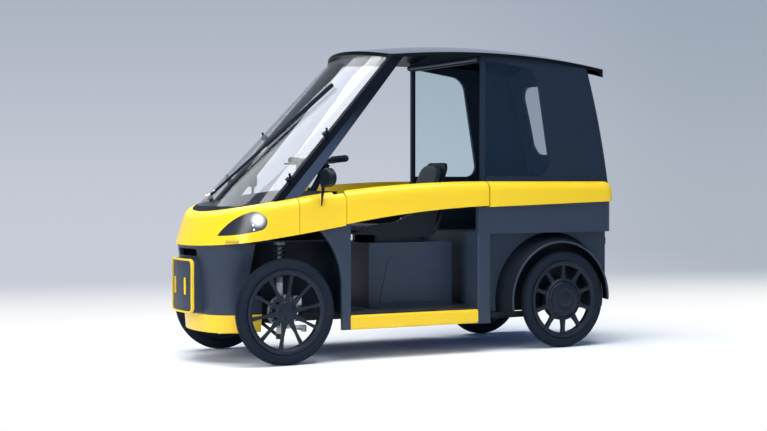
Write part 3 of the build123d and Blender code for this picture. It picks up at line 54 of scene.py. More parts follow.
# Wheels and tyres
FRONT_AXLE = Vector((0.799, 0, 0.260))
REAR_AXLE = Vector((-0.841, 0, 0.260))
FRONT_WHEEL_Y = 0.409
REAR_WHEEL_Y = 0.403
TYRE_R = 0.260
TYRE_INNER_R = 0.200
TYRE_SQUASH = 0.95
TREAD = 0.0025
TREAD_COLUMNS = 132
TREAD_DROP = 0.0125
TREAD_SIDE = 0.05
TREAD_LANE = 0.006
TREAD_GROOVE = 0.0009
WALL_RIB = (0.222, 0.2285)
WALL_FACING = 0.4

# Wheels: body, CAD tyre, axle, offset across
WHEELS = (
    ("front_left", "front_tyre_left", FRONT_AXLE, FRONT_WHEEL_Y),
    ("front_right", "front_tyre_right", FRONT_AXLE, -FRONT_WHEEL_Y),
    ("rear_left", "rear_tyre_left", REAR_AXLE, REAR_WHEEL_Y),
    ("rear_right", "rear_tyre_right", REAR_AXLE, -REAR_WHEEL_Y),
)

# Hub covers: radius, outer face, and steps as (inset, rise) from the rim inwards
FRONT_COVER = (0.046, 0.0205, ((0.004, 0.002), (0.010, 0), (0.004, 0.003), (0.010, -0.0015), (0.006, 0.0015)))
REAR_COVER = (0.086, 0.0265, ((0.004, 0.0015), (0.012, -0.001), (0.003, 0.002), (0.014, 0), (0.003, -0.002),
                              (0.016, 0.0015), (0.004, 0.003), (0.008, 0.001)))

# Hub bolts: count, circle, head radius, outer face
FRONT_BOLTS = (5, 0.034, 0.0042, 0.0245)
REAR_BOLTS = (6, 0.094, 0.0040, 0.0200)

DISC_R = 0.0825
DISC_T = 0.0036
DISC_FACE = -0.030
DISC_COLUMNS = 60
DISC_HOLES = (0.0635, 0.072)

# Springs: name, foot, top, coil radius, wire radius
REAR_UNIT_LOW = Vector((-0.745, 0.290, 0.244))
REAR_UNIT_HIGH = Vector((-0.680, 0.290, 0.575))
SPRINGS = (
    ("front_spring_", Vector((0.799, 0.345, 0.418)), Vector((0.799, 0.345, 0.582)), 0.025, 0.0042),
    ("rear_spring_", REAR_UNIT_LOW.lerp(REAR_UNIT_HIGH, 0.24), REAR_UNIT_LOW.lerp(REAR_UNIT_HIGH, 0.78),
     0.027, 0.0048),
)
SPRING_TURNS = 8
SPRING_STEPS = 28

# Seat pads: remesh size, air pressure, frames of the run, furthest swell
PAD_VOXEL = 0.006
PAD_PRESSURE = 4
PAD_FRAMES = 20
PAD_SWELL = 0.006

# Headlamps: the lit place, the way its cover faces, dish sizes, small dishes as (ahead, down)
LAMP_CORE = (0.941, 0.408, 0.708)
LAMP_TURN = radians(52.3)
OUT = Vector((cos(LAMP_TURN), sin(LAMP_TURN), 0))
FORE = Vector((sin(LAMP_TURN), -cos(LAMP_TURN), 0))
LAMP_REACH = 0.3
MAIN_DISH_R = 0.018
SMALL_DISH_R = 0.0035
SMALL_DISHES = ((0.022, 0.026), (0.017, 0.047))

# Turn signal: where it is looked for on the nose, its size, how far it is let in
SIGNAL_FROM = (1.445, 0.622, 0.602)
SIGNAL_AIM = (-0.79, -0.55, 0)
SIGNAL_SIZE = (0.076, 0.017, 0.005)
SIGNAL_SINK = 0.0008

MIRROR_AT = (0.5868, 0.480, 0.911)
MIRROR_SIZE = (0.055, 0.039, 0.003)

# Handlebar: the left grip's ends, and what stands on the middle
GRIP_INNER = Vector((0.4405, 0.203, 1.0029))
GRIP_OUTER = Vector((0.4285, 0.327, 1.0079))
GRIP_R = 0.0162
GRIP_RINGS = 18
RING_R = 0.0013
CONSOLE_SIZE = (0.100, 0.104, 0.084)
CONSOLE_AT = (0.472, 0, 0.971)
DISPLAY_SIZE = (0.074, 0.052, 0.016)
DISPLAY_AT = (0.398, 0, 1.018)
DISPLAY_FACING = (-0.75, 0, 0.66)

# Rear mudguards: rolled edge, and the stay and tab under the front end
GUARD_AT = Vector((-0.817, 0.431, 0.260))
GUARD_RIM_R = 0.3100
GUARD_ROLL_R = 0.0058
GUARD_LOW = radians(9)
STAY_SIZE = (0.262, 0.020, 0.032)
STAY_AT = (-0.488, 0.352, 0.186)
TAB_SIZE = (0.034, 0.060, 0.008)
TAB_AT = (-0.500, 0.388, 0.204)

# Tube under the roof
TUBE_HALF = 0.350
TUBE_X = -0.322
TUBE_Z = 1.532
TUBE_R = 0.009
KNOB_R = 0.015
KNOB_SQUASH = 0.6

# Wiper: its lift off the glass, its foot and its blade's ends
WIPER_LIFT = Vector((0.69, 0.14, 0.71)) * 0.015
WIPER_FOOT = Vector((1.030, 0.022, 0.806)) + WIPER_LIFT
BLADE_LOW = Vector((0.752, 0.086, 1.062)) + WIPER_LIFT
BLADE_HIGH = Vector((0.420, 0.180, 1.374)) + WIPER_LIFT
BLADE_HOLD = 0.38

# Floor mats
MAT_STRIPS = 27
MAT_SIZE = (0.50, 0.186, 1)
MAT_AT = (0.535, 0.143, 0.236)
MAT_T = 0.003
MAT_EDGE_Y = 0.05
MAT_PITCH = 0.0069
MAT_RIB = 0.003

# Paint lines: the pillar's front edge, where its side begins, its outer face and its painted shade
# that darkens it upwards under the roof; the rear pane; the height below which dust settles
PILLAR_FOOT_X = 0.871
PILLAR_FOOT_Z = 0.770
PILLAR_LEAN = 0.904
PILLAR_EDGE = (0.044, 0.048)
PILLAR_OUTER = (0.352, 0.356)
PILLAR_SHADE_FADE = (0.92, 1.34)
REAR_PANE_X = (-1.03, -1.0)
DUST_LINE = (0.05, 0.55)
ROAD_DUST = (0.30, 0.28, 0.25)

# Studio
CAMERA_AT = Vector((3.6944, 6.7405, 0.8824))
YAW = -2.0681
PITCH = -0.0223
AHEAD = Vector((cos(YAW) * cos(PITCH), sin(YAW) * cos(PITCH), sin(PITCH)))
LENS = 67.4
SENSOR = 36
STAGE_SIZE = 60
WALL_BEHIND = 12
WALL_RISE = (0.0, 4.2)
WALL_TURN = (0.0, 4.5)
WALL_LOW = (0.57, 0.60, 0.68)
WALL_HIGH = (0.40, 0.44, 0.53)
WALL_RIGHT_LOW = (0.43, 0.475, 0.545)
WALL_RIGHT_HIGH = (0.33, 0.39, 0.47)
FLOOR_SLANT = 0.3
FLOOR_START = 0.85
FLOOR_FADE = (0.6, 5.6)
FLOOR_GLOW = (1.15, 2.7)
# Painted shade: the floor near the vehicle glows a faint blue, which tints its shadow
SHADE_TINT = (0.02, 0.14, 0.85)
SHADE_REACH = (0.0, 0.12)
SHADE_SHARE = 0.97
WHITE = (1.0, 1.0, 1.0)


class Wire:
    """One output in a material's node tree. Arithmetic on it adds Math nodes."""

    def __init__(self, tree, socket=None):
        self.tree = tree
        self.socket = socket

    def feed(self, target, value):
        """Link a wire to a socket, or set the socket's value."""
        if isinstance(value, Wire):
            self.tree.links.new(value.socket, target)
        else:
            target.default_value = value

    def node(self, kind, settings=None, inputs=None, out=0):
        """Add a node: its settings first, then the values or links of its sockets."""
        made = self.tree.nodes.new(kind)
        for name, value in (settings or {}).items():
            setattr(made, name, value)
        for name, value in (inputs or {}).items():
            self.feed(made.inputs[name], value)
        return Wire(self.tree, made.outputs[out])

    def math(self, operation, first, second=0.0):
        return self.node("ShaderNodeMath", {"operation": operation}, {0: first, 1: second})

    def __add__(self, other):
        return self.math("ADD", self, other)

    __radd__ = __add__

    def __sub__(self, other):
        return self.math("SUBTRACT", self, other)

    def __rsub__(self, other):
        return self.math("SUBTRACT", other, self)

    def __mul__(self, other):
        return self.math("MULTIPLY", self, other)

    __rmul__ = __mul__

    def step(self, low, high):
        """Smooth 0 to 1 between two values."""
        ranged = {"interpolation_type": "SMOOTHSTEP"}
        return self.node("ShaderNodeMapRange", ranged, {"Value": self, "From Min": low, "From Max": high})

    def part(self, axis):
        """One coordinate of a vector."""
        return self.node("ShaderNodeSeparateXYZ", None, {"Vector": self}, axis)

    def tint(self, first, second):
        """Colour between two colours."""
        made = self.node("ShaderNodeMix", {"data_type": "RGBA"}, {"Factor": self}, 2)
        mix = made.socket.node
        for target, value in ((mix.inputs[6], first), (mix.inputs[7], second)):
            self.feed(target, value if isinstance(value, Wire) else (*value, 1.0))
        return made


def material(name):
    """New node material, its tree as a wire, and its object coordinates."""
    made = bpy.data.materials.new(name)
    made.use_nodes = True
    made.node_tree.nodes.clear()
    tree = Wire(made.node_tree)
    place = tree.node("ShaderNodeTexCoord", None, None, "Object")
    return made, tree, place


def close(tree, shader):
    """Feed a shader to the material's output."""
    output = tree.tree.nodes.new("ShaderNodeOutputMaterial")
    tree.tree.links.new(shader.socket, output.inputs["Surface"])


def principled(made, tree, inputs):
    """Close a material with the principled shader."""
    close(tree, tree.node("ShaderNodeBsdfPrincipled", None, inputs))
    return made


def mixed(tree, share, first, second):
    """Shader between two shaders."""
    return tree.node("ShaderNodeMixShader", None, {0: share, 1: first, 2: second})


def noise(tree, place, scale, detail=4.0, rough=0.55, stretch=None):
    """Noise from 0 to 1 at a scale per metre, stretched along an axis where wanted."""
    if stretch:
        place = tree.node("ShaderNodeVectorMath", {"operation": "MULTIPLY"}, {0: place, 1: stretch})
    return tree.node("ShaderNodeTexNoise", None,
                     {"Vector": place, "Scale": scale, "Detail": detail, "Roughness": rough})


def bands(tree, place, scale):
    """Even level ribs."""
    return tree.node("ShaderNodeTexWave", {"wave_type": "BANDS", "bands_direction": "Z"},
                     {"Vector": place, "Scale": scale})


def bump(tree, height, strength, depth):
    """Normal over a small relief."""
    return tree.node("ShaderNodeBump", None, {"Height": height, "Strength": strength, "Distance": depth})


def moulding(name, colour, rough, grain, grain_depth, coat=0.0, mottle=0.12, shine=0.27, dust=0.0):
    """Moulded or painted surface: colour drift, fine grain, worn patches and a little road dust low down."""
    made, tree, place = material(name)
    drift = noise(tree, place, 5.0, 3.0)
    fine = noise(tree, place, grain, 2.0)
    scuff = noise(tree, place, 38.0, 6.0, 0.7).step(0.62, 0.78)
    dark = tuple(c * (1 - mottle) for c in colour)
    pale = tuple(c * (1 + mottle * 0.5) for c in colour)
    paint = drift.tint(dark, pale)
    if dust:
        low = 1 - place.part("Z").step(*DUST_LINE)
        settled = low * noise(tree, place, 14.0, 5.0, 0.6).step(0.35, 0.8) * dust
        paint = settled.tint(paint, ROAD_DUST)
    worn = rough + drift * 0.08 + scuff * 0.10 - 0.04
    return principled(made, tree, {
        "Base Color": paint, "Roughness": worn, "Coat Weight": coat, "Coat Roughness": 0.22,
        "Specular IOR Level": shine, "Normal": bump(tree, fine, 0.35, grain_depth)})


def glazing(name, tint, haze, cloud, gloss, rear_tint):
    """Sheet that lets light through, a little hazy, and mirrors more at a slant; tinted apart at the rear."""
    made, tree, place = material(name)
    facing_off = tree.node("ShaderNodeLayerWeight", None, {"Blend": 0.5}, "Facing")
    slant = tree.math("POWER", facing_off, 5.0)
    smear = noise(tree, place, 9.0, 5.0).step(0.45, 0.8)
    rear = 1 - place.part("X").step(*REAR_PANE_X)
    through = mixed(tree, rear, tree.node("ShaderNodeBsdfTransparent", None, {"Color": (*tint, 1.0)}),
                    tree.node("ShaderNodeBsdfTransparent", None, {"Color": (*rear_tint, 1.0)}))
    film = tree.node("ShaderNodeBsdfDiffuse", None, {"Color": (*haze, 1.0)})
    mirror = tree.node("ShaderNodeBsdfGlossy", None, {"Roughness": 0.02 + smear * 0.05})
    sheet = mixed(tree, cloud + smear * 0.006, through, film)
    close(tree, mixed(tree, 0.035 + slant * gloss, sheet, mirror))
    return made


def metal(name, colour, rough, stretch):
    """Machined metal with fine brushing."""
    made, tree, place = material(name)
    brushed = noise(tree, place, 160.0, 3.0, 0.6, stretch)
    stain = noise(tree, place, 22.0, 4.0)
    return principled(made, tree, {
        "Base Color": stain.tint(tuple(c * 0.8 for c in colour), colour), "Metallic": 1.0,
        "Roughness": rough + brushed * 0.15 + stain * 0.08, "Normal": bump(tree, brushed, 0.25, 0.0004)})


def rubber(name):
    """Tyre rubber: matt, with road dust rubbed into it."""
    made, tree, place = material(name)
    grit = noise(tree, place, 420.0, 3.0)
    dust = noise(tree, place, 18.0, 5.0, 0.65).step(0.45, 0.85)
    return principled(made, tree, {
        "Base Color": (dust * 0.3).tint((0.0040, 0.0092, 0.020), (0.022, 0.030, 0.042)),
        "Roughness": 0.72 + dust * 0.2, "Specular IOR Level": 0.2, "Normal": bump(tree, grit, 0.4, 0.0006)})


def hide(name, colour):
    """Grained seat cover."""
    made, tree, place = material(name)
    cells = tree.node("ShaderNodeTexVoronoi", {"feature": "DISTANCE_TO_EDGE"},
                      {"Vector": place, "Scale": 520.0})
    drift = noise(tree, place, 12.0, 4.0)
    return principled(made, tree, {
        "Base Color": drift.tint(colour, tuple(c * 1.7 for c in colour)), "Roughness": 0.46 + drift * 0.16,
        "Normal": bump(tree, cells.step(0.0, 0.25), 0.5, 0.0006)})


def lamp_smoke(name):
    """Smoked lamp cover with the glow of the lit lamp at its rear end, and painted lamp light:
    the cover's colour is lighter around the lit place.
    """
    made, tree, place = material(name)
    side = tree.node("ShaderNodeCombineXYZ", None, {
        "X": place.part("X"), "Y": tree.math("ABSOLUTE", place.part("Y")), "Z": place.part("Z")})
    away = tree.node("ShaderNodeVectorMath", {"operation": "DISTANCE"}, {0: side, 1: LAMP_CORE}, "Value")
    # Painted light: the cover's colour lightens around the lit lamp
    painted_halo = 1 - away.step(0.0, 0.085)
    core = 1 - away.step(0.010, 0.044)
    flutes = bands(tree, place, 55.0)
    return principled(made, tree, {
        "Base Color": painted_halo.tint((0.009, 0.011, 0.018), (0.11, 0.12, 0.145)),
        "Roughness": 0.34 + flutes * 0.06, "Coat Weight": 0.25, "Coat Roughness": 0.30,
        "Emission Color": core.tint((0.0, 0.0, 0.0), WHITE), "Emission Strength": 1.1,
        "Normal": bump(tree, flutes, 0.15, 0.0006)})


def lamp_light(name):
    """Lit white lamp inside a bright bezel."""
    made, tree, place = material(name)
    facets = tree.node("ShaderNodeTexVoronoi", None, {"Vector": place, "Scale": 260.0})
    return principled(made, tree, {
        "Base Color": (0.9, 0.92, 0.95, 1.0), "Roughness": 0.12, "Emission Color": (1.0, 0.98, 0.94, 1.0),
        "Emission Strength": 1.6, "Normal": bump(tree, facets, 0.3, 0.0008)})


def signal_lens(name):
    """Ribbed amber lens of the turn signal."""
    made, tree, place = material(name)
    ribs = bands(tree, place, 160.0)
    return principled(made, tree, {
        "Base Color": ribs.tint((0.44, 0.300, 0.014), (0.51, 0.355, 0.02)), "Roughness": 0.32,
        "Coat Weight": 0.2, "Normal": bump(tree, ribs, 0.5, 0.0006)})


def pillar_paint_and_shade(name):
    """Pillar with a black front edge and a slate-blue side; painted sky light makes the side lighter low
    down, and painted shade darkens it upwards under the roof and on its inner face.
    """
    made, tree, place = material(name)
    behind = PILLAR_FOOT_X - (place.part("Z") - PILLAR_FOOT_Z) * PILLAR_LEAN - place.part("X")
    # Painted shade: the side's colour darkens upwards under the roof, and stays darker on the inner face
    low = 1 - place.part("Z").step(*PILLAR_SHADE_FADE)
    outer = tree.math("ABSOLUTE", place.part("Y")).step(*PILLAR_OUTER)
    side = behind.step(*PILLAR_EDGE) * low * (0.25 + outer * 0.75)
    grain = noise(tree, place, 1200.0, 2.0)
    drift = noise(tree, place, 7.0, 3.0)
    return principled(made, tree, {
        "Base Color": side.tint((0.0025, 0.0045, 0.010), (0.042, 0.062, 0.102)),
        "Roughness": 0.46 + drift * 0.10, "Specular IOR Level": 0.08,
        "Normal": bump(tree, grain, 0.35, 0.0002)})


def roof_paint_and_light(name):
    """Roof lacquered on top, matt black at its edge and below; faces that look up are painted lighter,
    painted light from above.
    """
    made, tree, place = material(name)
    # Painted light: upward faces get a lighter colour as well as the lacquer coat
    lacquer_and_painted_light = tree.node("ShaderNodeNewGeometry", None, None, "Normal").part("Z").step(0.25, 0.6)
    drift = noise(tree, place, 5.0, 3.0)
    grain = noise(tree, place, 1400.0, 2.0)
    return principled(made, tree, {
        "Base Color": lacquer_and_painted_light.tint((0.002, 0.003, 0.006), (0.038, 0.053, 0.080)),
        "Roughness": 0.34 + drift * 0.08, "Specular IOR Level": 0.1,
        "Coat Weight": lacquer_and_painted_light * 0.95, "Coat Roughness": 0.06, "Coat IOR": 1.8,
        "Normal": bump(tree, grain, 0.3, 0.0001)})


# Brushing drawn out along Z, or even
ALONG_Z = (1.0, 1.0, 0.08)
EVENLY = (1.0, 1.0, 1.0)

FINISHES = {
    "yellow_panel": moulding("yellow_gloss", (0.84, 0.553, 0.017), 0.36, 900.0, 0.00012, coat=0.22,
                             mottle=0.03),
    "slate_panel": moulding("slate_satin", (0.024, 0.037, 0.063), 0.42, 1400.0, 0.0002, dust=0.05),
    "black_trim": moulding("black_satin", (0.0055, 0.0085, 0.016), 0.46, 1200.0, 0.0002, shine=0.12,
                           dust=0.04),
    "seat_moulding": moulding("seat_black", (0.0042, 0.0075, 0.014), 0.36, 1100.0, 0.0002, shine=0.2),
    "floor_plate": moulding("floor_black", (0.014, 0.018, 0.026), 0.6, 500.0, 0.0005, shine=0.15, dust=0.15),
    "frame_tube": moulding("frame_coat", (0.008, 0.011, 0.018), 0.45, 700.0, 0.0003, shine=0.2, dust=0.12),
    "rim_paint": moulding("rim_graphite", (0.0080, 0.0135, 0.025), 0.42, 900.0, 0.00015, shine=0.2,
                          dust=0.03),
    "lamp_lens": lamp_smoke("lamp_smoke"),
    "red_lens": moulding("lamp_ruby", (0.45, 0.008, 0.012), 0.15, 300.0, 0.0001, coat=1.0),
    "clear_screen": glazing("screen_clear", (0.985, 0.99, 0.995), (0.5, 0.5, 0.5), 0.004, 0.5, WHITE),
    "tinted_pane": glazing("pane_tinted", (0.92, 0.995, 1.0), (0.08, 0.17, 0.40), 0.022, 0.4,
                           (0.90, 0.86, 0.87)),
    "bare_metal": metal("gear_alloy", (0.52, 0.53, 0.55), 0.30, ALONG_Z),
    "tyre_rubber": rubber("tyre_black"),
    "seat_cover": hide("seat_hide", (0.006, 0.010, 0.017)),
}

for entry in frame["record"]["subparts"]:
    mesh = nodes[entry["node"]].data
    mesh.materials.clear()
    mesh.materials.append(FINISHES[entry["material_slot"]])
canopy_paint = moulding("canopy_slate", (0.0108, 0.0195, 0.037), 0.5, 900.0, 0.0003, shine=0.14)
OWN_FINISHES = {
    "roof_panel": roof_paint_and_light("roof_lacquer_and_light"),
    "front_pillars": pillar_paint_and_shade("pillar_two_tone_and_shade"),
    "canopy_sides": canopy_paint,
    "canopy_back": canopy_paint,
    "canopy_hoop": canopy_paint,
    "screen_cowl": moulding("cowl_black", (0.006, 0.008, 0.013), 0.6, 900.0, 0.0003, shine=0.06),
    "shocks": metal("shock_grey", (0.13, 0.145, 0.17), 0.34, ALONG_Z),
}
for name, finish in OWN_FINISHES.items():
    nodes[name].data.materials[0] = finish


# Modelling by hand tools


def rest():
    """Object mode with nothing selected."""
    if bpy.context.object and bpy.context.object.mode != "OBJECT":
        bpy.ops.object.mode_set(mode="OBJECT")
    bpy.ops.object.select_all(action="DESELECT")


def alone(piece):
    """Object mode with one piece selected and active."""
    rest()
    piece.select_set(True)
    bpy.context.view_layer.objects.active = piece


def renamed(piece, name):
    """Give a piece and its mesh a name."""
    piece.name = name
    piece.data.name = name
    return piece


def apply_place():
    """Put the active piece's place, turn and scale into its mesh."""
    bpy.ops.object.transform_apply(location=True, rotation=True, scale=True)


def begin(name, adder, **shape):
    """A primitive at its size and place, to be shaped."""
    rest()
    adder(**shape)
    piece = renamed(bpy.context.object, name)
    apply_place()
    return piece


def pick(piece, test):
    """Edit mode with the faces selected whose centre and normal pass a test."""
    alone(piece)
    bpy.ops.object.mode_set(mode="EDIT")
    bpy.ops.mesh.select_mode(type="FACE")
    bpy.ops.mesh.select_all(action="DESELECT")
    bpy.ops.object.mode_set(mode="OBJECT")
    for face in piece.data.polygons:
        face.select = test(face.center, face.normal)
    bpy.ops.object.mode_set(mode="EDIT")


def pick_all(piece):
    pick(piece, lambda centre, normal: True)


def facing(direction):
    """Test for faces that look along a direction."""
    return lambda centre, normal: normal.dot(direction) > SQUARE_ON


def both_ends(direction):
    """Test for faces that look along a direction or against it."""
    return lambda centre, normal: abs(normal.dot(direction)) > SQUARE_ON


def swing(piece, direction, place):
    """Turn a piece made along +Z at the origin to a direction, and move it to a place."""
    alone(piece)
    piece.rotation_euler = Vector(direction).to_track_quat("Z", "Y").to_euler()
    piece.location = place
    apply_place()
    return piece


def twin(piece, name):
    """Copy with its own mesh."""
    alone(piece)
    bpy.ops.object.duplicate()
    return renamed(bpy.context.object, name)


def mirrored(piece, name):
    """Copy on the vehicle's right side."""
    made = twin(piece, name)
    made.scale = (1, -1, 1)
    apply_place()
    pick_all(made)
    bpy.ops.mesh.normals_make_consistent(inside=False)
    rest()
    return made


def joined(name, pieces):
    """Several pieces as one object."""
    rest()
    for piece in pieces:
        piece.select_set(True)
    bpy.context.view_layer.objects.active = pieces[0]
    if len(pieces) > 1:
        bpy.ops.object.join()
    return renamed(pieces[0], name)


def bevelled(piece, width, segments=2, angle=40):
    """Round the sharp edges of a piece."""
    alone(piece)
    soft = piece.modifiers.new("edge", "BEVEL")
    soft.width = width
    soft.segments = segments
    soft.limit_method = "ANGLE"
    soft.angle_limit = radians(angle)
    bpy.ops.object.modifier_apply(modifier=soft.name)
    return piece


def settle(piece, body, slot, finish=None, angle=40):
    """Close a piece: normals outwards, smooth by angle, its finish, and the body that it rides."""
    pick_all(piece)
    bpy.ops.mesh.normals_make_consistent(inside=False)
    alone(piece)
    bpy.ops.object.shade_smooth_by_angle(angle=radians(angle))
    piece.data.materials.clear()
    piece.data.materials.append(finish or FINISHES[slot])
    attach(piece, body)
    return piece


def both_sides(piece, body, slot, finish=None):
    """Settle a left piece and its copy on the right."""
    other = mirrored(piece, piece.name.replace("left", "right"))
    settle(piece, body, slot, finish)
    settle(other, body, slot, finish)


# Wheels


def road_tyre():
    """Tyre at the origin: round carcass with a crown of small tread blocks and ribbed side walls."""
    outer = TYRE_R - TREAD
    piece = begin("tyre_pattern", bpy.ops.mesh.primitive_torus_add, major_segments=TREAD_COLUMNS,
                  minor_segments=28, major_radius=(outer + TYRE_INNER_R) / 2,
                  minor_radius=(outer - TYRE_INNER_R) / 2, rotation=ROUND_Y)
    pick_all(piece)
    bpy.ops.transform.resize(value=(1, TYRE_SQUASH, 1))
    step = 2 * pi / TREAD_COLUMNS

    def block(centre, normal):
        column = round(atan2(centre.z, centre.x) / step)
        lane = int((centre.y + TREAD_SIDE) / TREAD_LANE)
        return hypot(centre.x, centre.z) > TYRE_R - TREAD_DROP and (column + 2 * lane) % 4 != 0

    pick(piece, block)
    bpy.ops.mesh.inset(thickness=TREAD_GROOVE, depth=TREAD, use_individual=True)

    def rib(centre, normal):
        return WALL_RIB[0] < hypot(centre.x, centre.z) < WALL_RIB[1] and abs(normal.y) > WALL_FACING

    pick(piece, rib)
    bpy.ops.mesh.inset(thickness=0.0006, depth=0.0012)
    rest()
    return piece


def wheel_bolts(count, circle, radius, face):
    """Ring of hexagon bolt heads on a hub's outer face, about the axle at the origin."""
    heads = []
    for index in range(count):
        turn = 2 * pi * index / count
        head = begin("bolt", bpy.ops.mesh.primitive_cylinder_add, vertices=6, radius=radius, depth=radius,
                     rotation=ROUND_Y, location=(circle * cos(turn), face + radius / 2, circle * sin(turn)))
        pick(head, facing(LEFT))
        bpy.ops.mesh.inset(thickness=radius * 0.35, depth=0)
        bpy.ops.mesh.inset(thickness=0.0001, depth=-radius * 0.4)
        heads.append(bevelled(head, radius * 0.12))
    return joined("bolts", heads)


def hub_disc(radius, face, steps):
    """Turned cover on a hub's outer face."""
    disc = begin("hub_disc", bpy.ops.mesh.primitive_cylinder_add, vertices=72, radius=radius, depth=0.004,
                 rotation=ROUND_Y, location=(0, face + 0.001, 0))
    pick(disc, facing(LEFT))
    for width, rise in steps:
        bpy.ops.mesh.inset(thickness=width, depth=rise)
    return bevelled(disc, 0.0006)


def brake_disc():
    """Drilled brake disc beside the hub."""
    disc = begin("brake_disc", bpy.ops.mesh.primitive_cylinder_add, vertices=DISC_COLUMNS, radius=DISC_R,
                 depth=DISC_T, rotation=ROUND_Y, location=(0, DISC_FACE, 0))
    pick(disc, both_ends(LEFT))
    for width, rise in ((0.010, 0), (0.010, 0), (0.012, -0.0006)):
        bpy.ops.mesh.inset(thickness=width, depth=rise)
    step = 2 * pi / DISC_COLUMNS

    def hole(centre, normal):
        column = round(atan2(centre.z, centre.x) / step + 0.5)
        between = DISC_HOLES[0] < hypot(centre.x, centre.z) < DISC_HOLES[1]
        return between and abs(normal.y) > SQUARE_ON and column % 3 == 0

    pick(disc, hole)
    bpy.ops.mesh.inset(thickness=0.001, depth=-0.0012, use_individual=True)
    rest()
    return disc


def placed(piece, name, axle, y):
    """Copy of a wheel piece at its axle, outer face outwards."""
    made = twin(piece, name)
    if y < 0:
        made.scale = (1, -1, 1)
    made.location = (axle.x, y, axle.z)
    apply_place()
    return made


def dress_wheels():
    """Tyres with their tread, hub covers with their bolts, and front brake discs."""
    cap_paint = moulding("cap_graphite", (0.0105, 0.016, 0.027), 0.38, 900.0, 0.0001, shine=0.15)
    rubber_pattern = road_tyre()
    front_cap = joined("front_cap", [hub_disc(*FRONT_COVER), wheel_bolts(*FRONT_BOLTS)])
    rear_cap = joined("rear_cap", [hub_disc(*REAR_COVER), wheel_bolts(*REAR_BOLTS)])
    disc = brake_disc()
    for name, node, axle, y in WHEELS:
        body = name + "_wheel"
        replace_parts(settle(placed(rubber_pattern, name + "_tread", axle, y), body, "tyre_rubber"), node)
        front = axle is FRONT_AXLE
        settle(placed(front_cap if front else rear_cap, name + "_cap", axle, y), body, "rim_paint", cap_paint)
        if front:
            settle(placed(disc, name + "_disc", axle, y), body, "bare_metal")
    for pattern in (rubber_pattern, front_cap, rear_cap, disc):
        bpy.data.objects.remove(pattern)


# Springs and seat


def coil(name, foot, top, radius, wire):
    """Coil spring between two points."""
    piece = begin(name, bpy.ops.mesh.primitive_circle_add, vertices=10, radius=wire, rotation=ROUND_Y,
                  location=(radius, 0, 0))
    winding = piece.modifiers.new("winding", "SCREW")
    winding.axis = "Z"
    winding.screw_offset = (top - foot).length / SPRING_TURNS
    winding.iterations = SPRING_TURNS
    winding.steps = SPRING_STEPS
    winding.render_steps = SPRING_STEPS
    winding.use_merge_vertices = False
    bpy.ops.object.modifier_apply(modifier=winding.name)
    return swing(piece, top - foot, foot)


def dress_springs():
    """Coils of the front struts and of the rear spring units."""
    for side, sign in (("left", 1), ("right", -1)):
        for name, foot, top, radius, wire in SPRINGS:
            low = Vector((foot.x, sign * foot.y, foot.z))
            high = Vector((top.x, sign * top.y, top.z))
            settle(coil(name + side, low, high, radius, wire), "chassis", "frame_tube")


def seat_pads():
    """Padded seat: the pads' form swollen like foam under its cover."""
    rest()
    pads = bpy.data.objects.new("seat_pads", nodes["seat_pad"].data.copy())
    bpy.context.scene.collection.objects.link(pads)
    pick_all(pads)
    bpy.ops.mesh.remove_doubles(threshold=0.0002)
    bpy.ops.mesh.normals_make_consistent(inside=False)
    alone(pads)
    mould = pads.modifiers.new("mould", "REMESH")
    mould.mode = "VOXEL"
    mould.voxel_size = PAD_VOXEL
    bpy.ops.object.modifier_apply(modifier=mould.name)
    start = [v.co.copy() for v in pads.data.vertices]
    stuffing = pads.modifiers.new("stuffing", "CLOTH")
    stuffing.settings.use_pressure = True
    stuffing.settings.uniform_pressure_force = PAD_PRESSURE
    stuffing.settings.effector_weights.gravity = 0
    scene = bpy.context.scene
    for number in range(1, PAD_FRAMES + 1):
        scene.frame_set(number)
    bpy.ops.object.modifier_apply(modifier=stuffing.name)
    scene.frame_set(1)
    for vertex, before in zip(pads.data.vertices, start):
        moved = vertex.co - before
        if moved.length > PAD_SWELL:
            vertex.co = before + moved.normalized() * PAD_SWELL
    soft = pads.modifiers.new("soft", "SUBSURF")
    soft.levels = 1
    soft.render_levels = 1
    bpy.ops.object.modifier_apply(modifier=soft.name)
    settle(pads, "chassis", "seat_cover", angle=60)
    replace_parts(pads, "seat_pad")


# Lamps and mirrors


def on_surface(node, start, direction):
    """Where a line first meets a CAD node, and the surface's normal there."""
    hit, place, normal, _ = nodes[node].ray_cast(Vector(start), Vector(direction).normalized())
    if not hit:
        raise RuntimeError(node + " isn't met from " + str(tuple(start)))
    return place, normal


def lamp_dish(radius, ahead, down):
    """Round lamp with its bezel on the headlamp's cover, ahead of the lit place and below it."""
    dish = begin("lamp_dish", bpy.ops.mesh.primitive_cylinder_add, vertices=40, radius=radius, depth=0.004,
                 location=(0, 0, 0.0005))
    pick(dish, facing(UP))
    for share, rise in ((0.12, 0.0012), (0.10, -0.0015), (0.35, 0.0012), (0.25, 0.0006)):
        bpy.ops.mesh.inset(thickness=radius * share, depth=rise)
    bevelled(dish, 0.0003)
    start = Vector(LAMP_CORE) + FORE * ahead - UP * down + OUT * LAMP_REACH
    place, normal = on_surface("headlamps", start, -OUT)
    return swing(dish, normal, place)


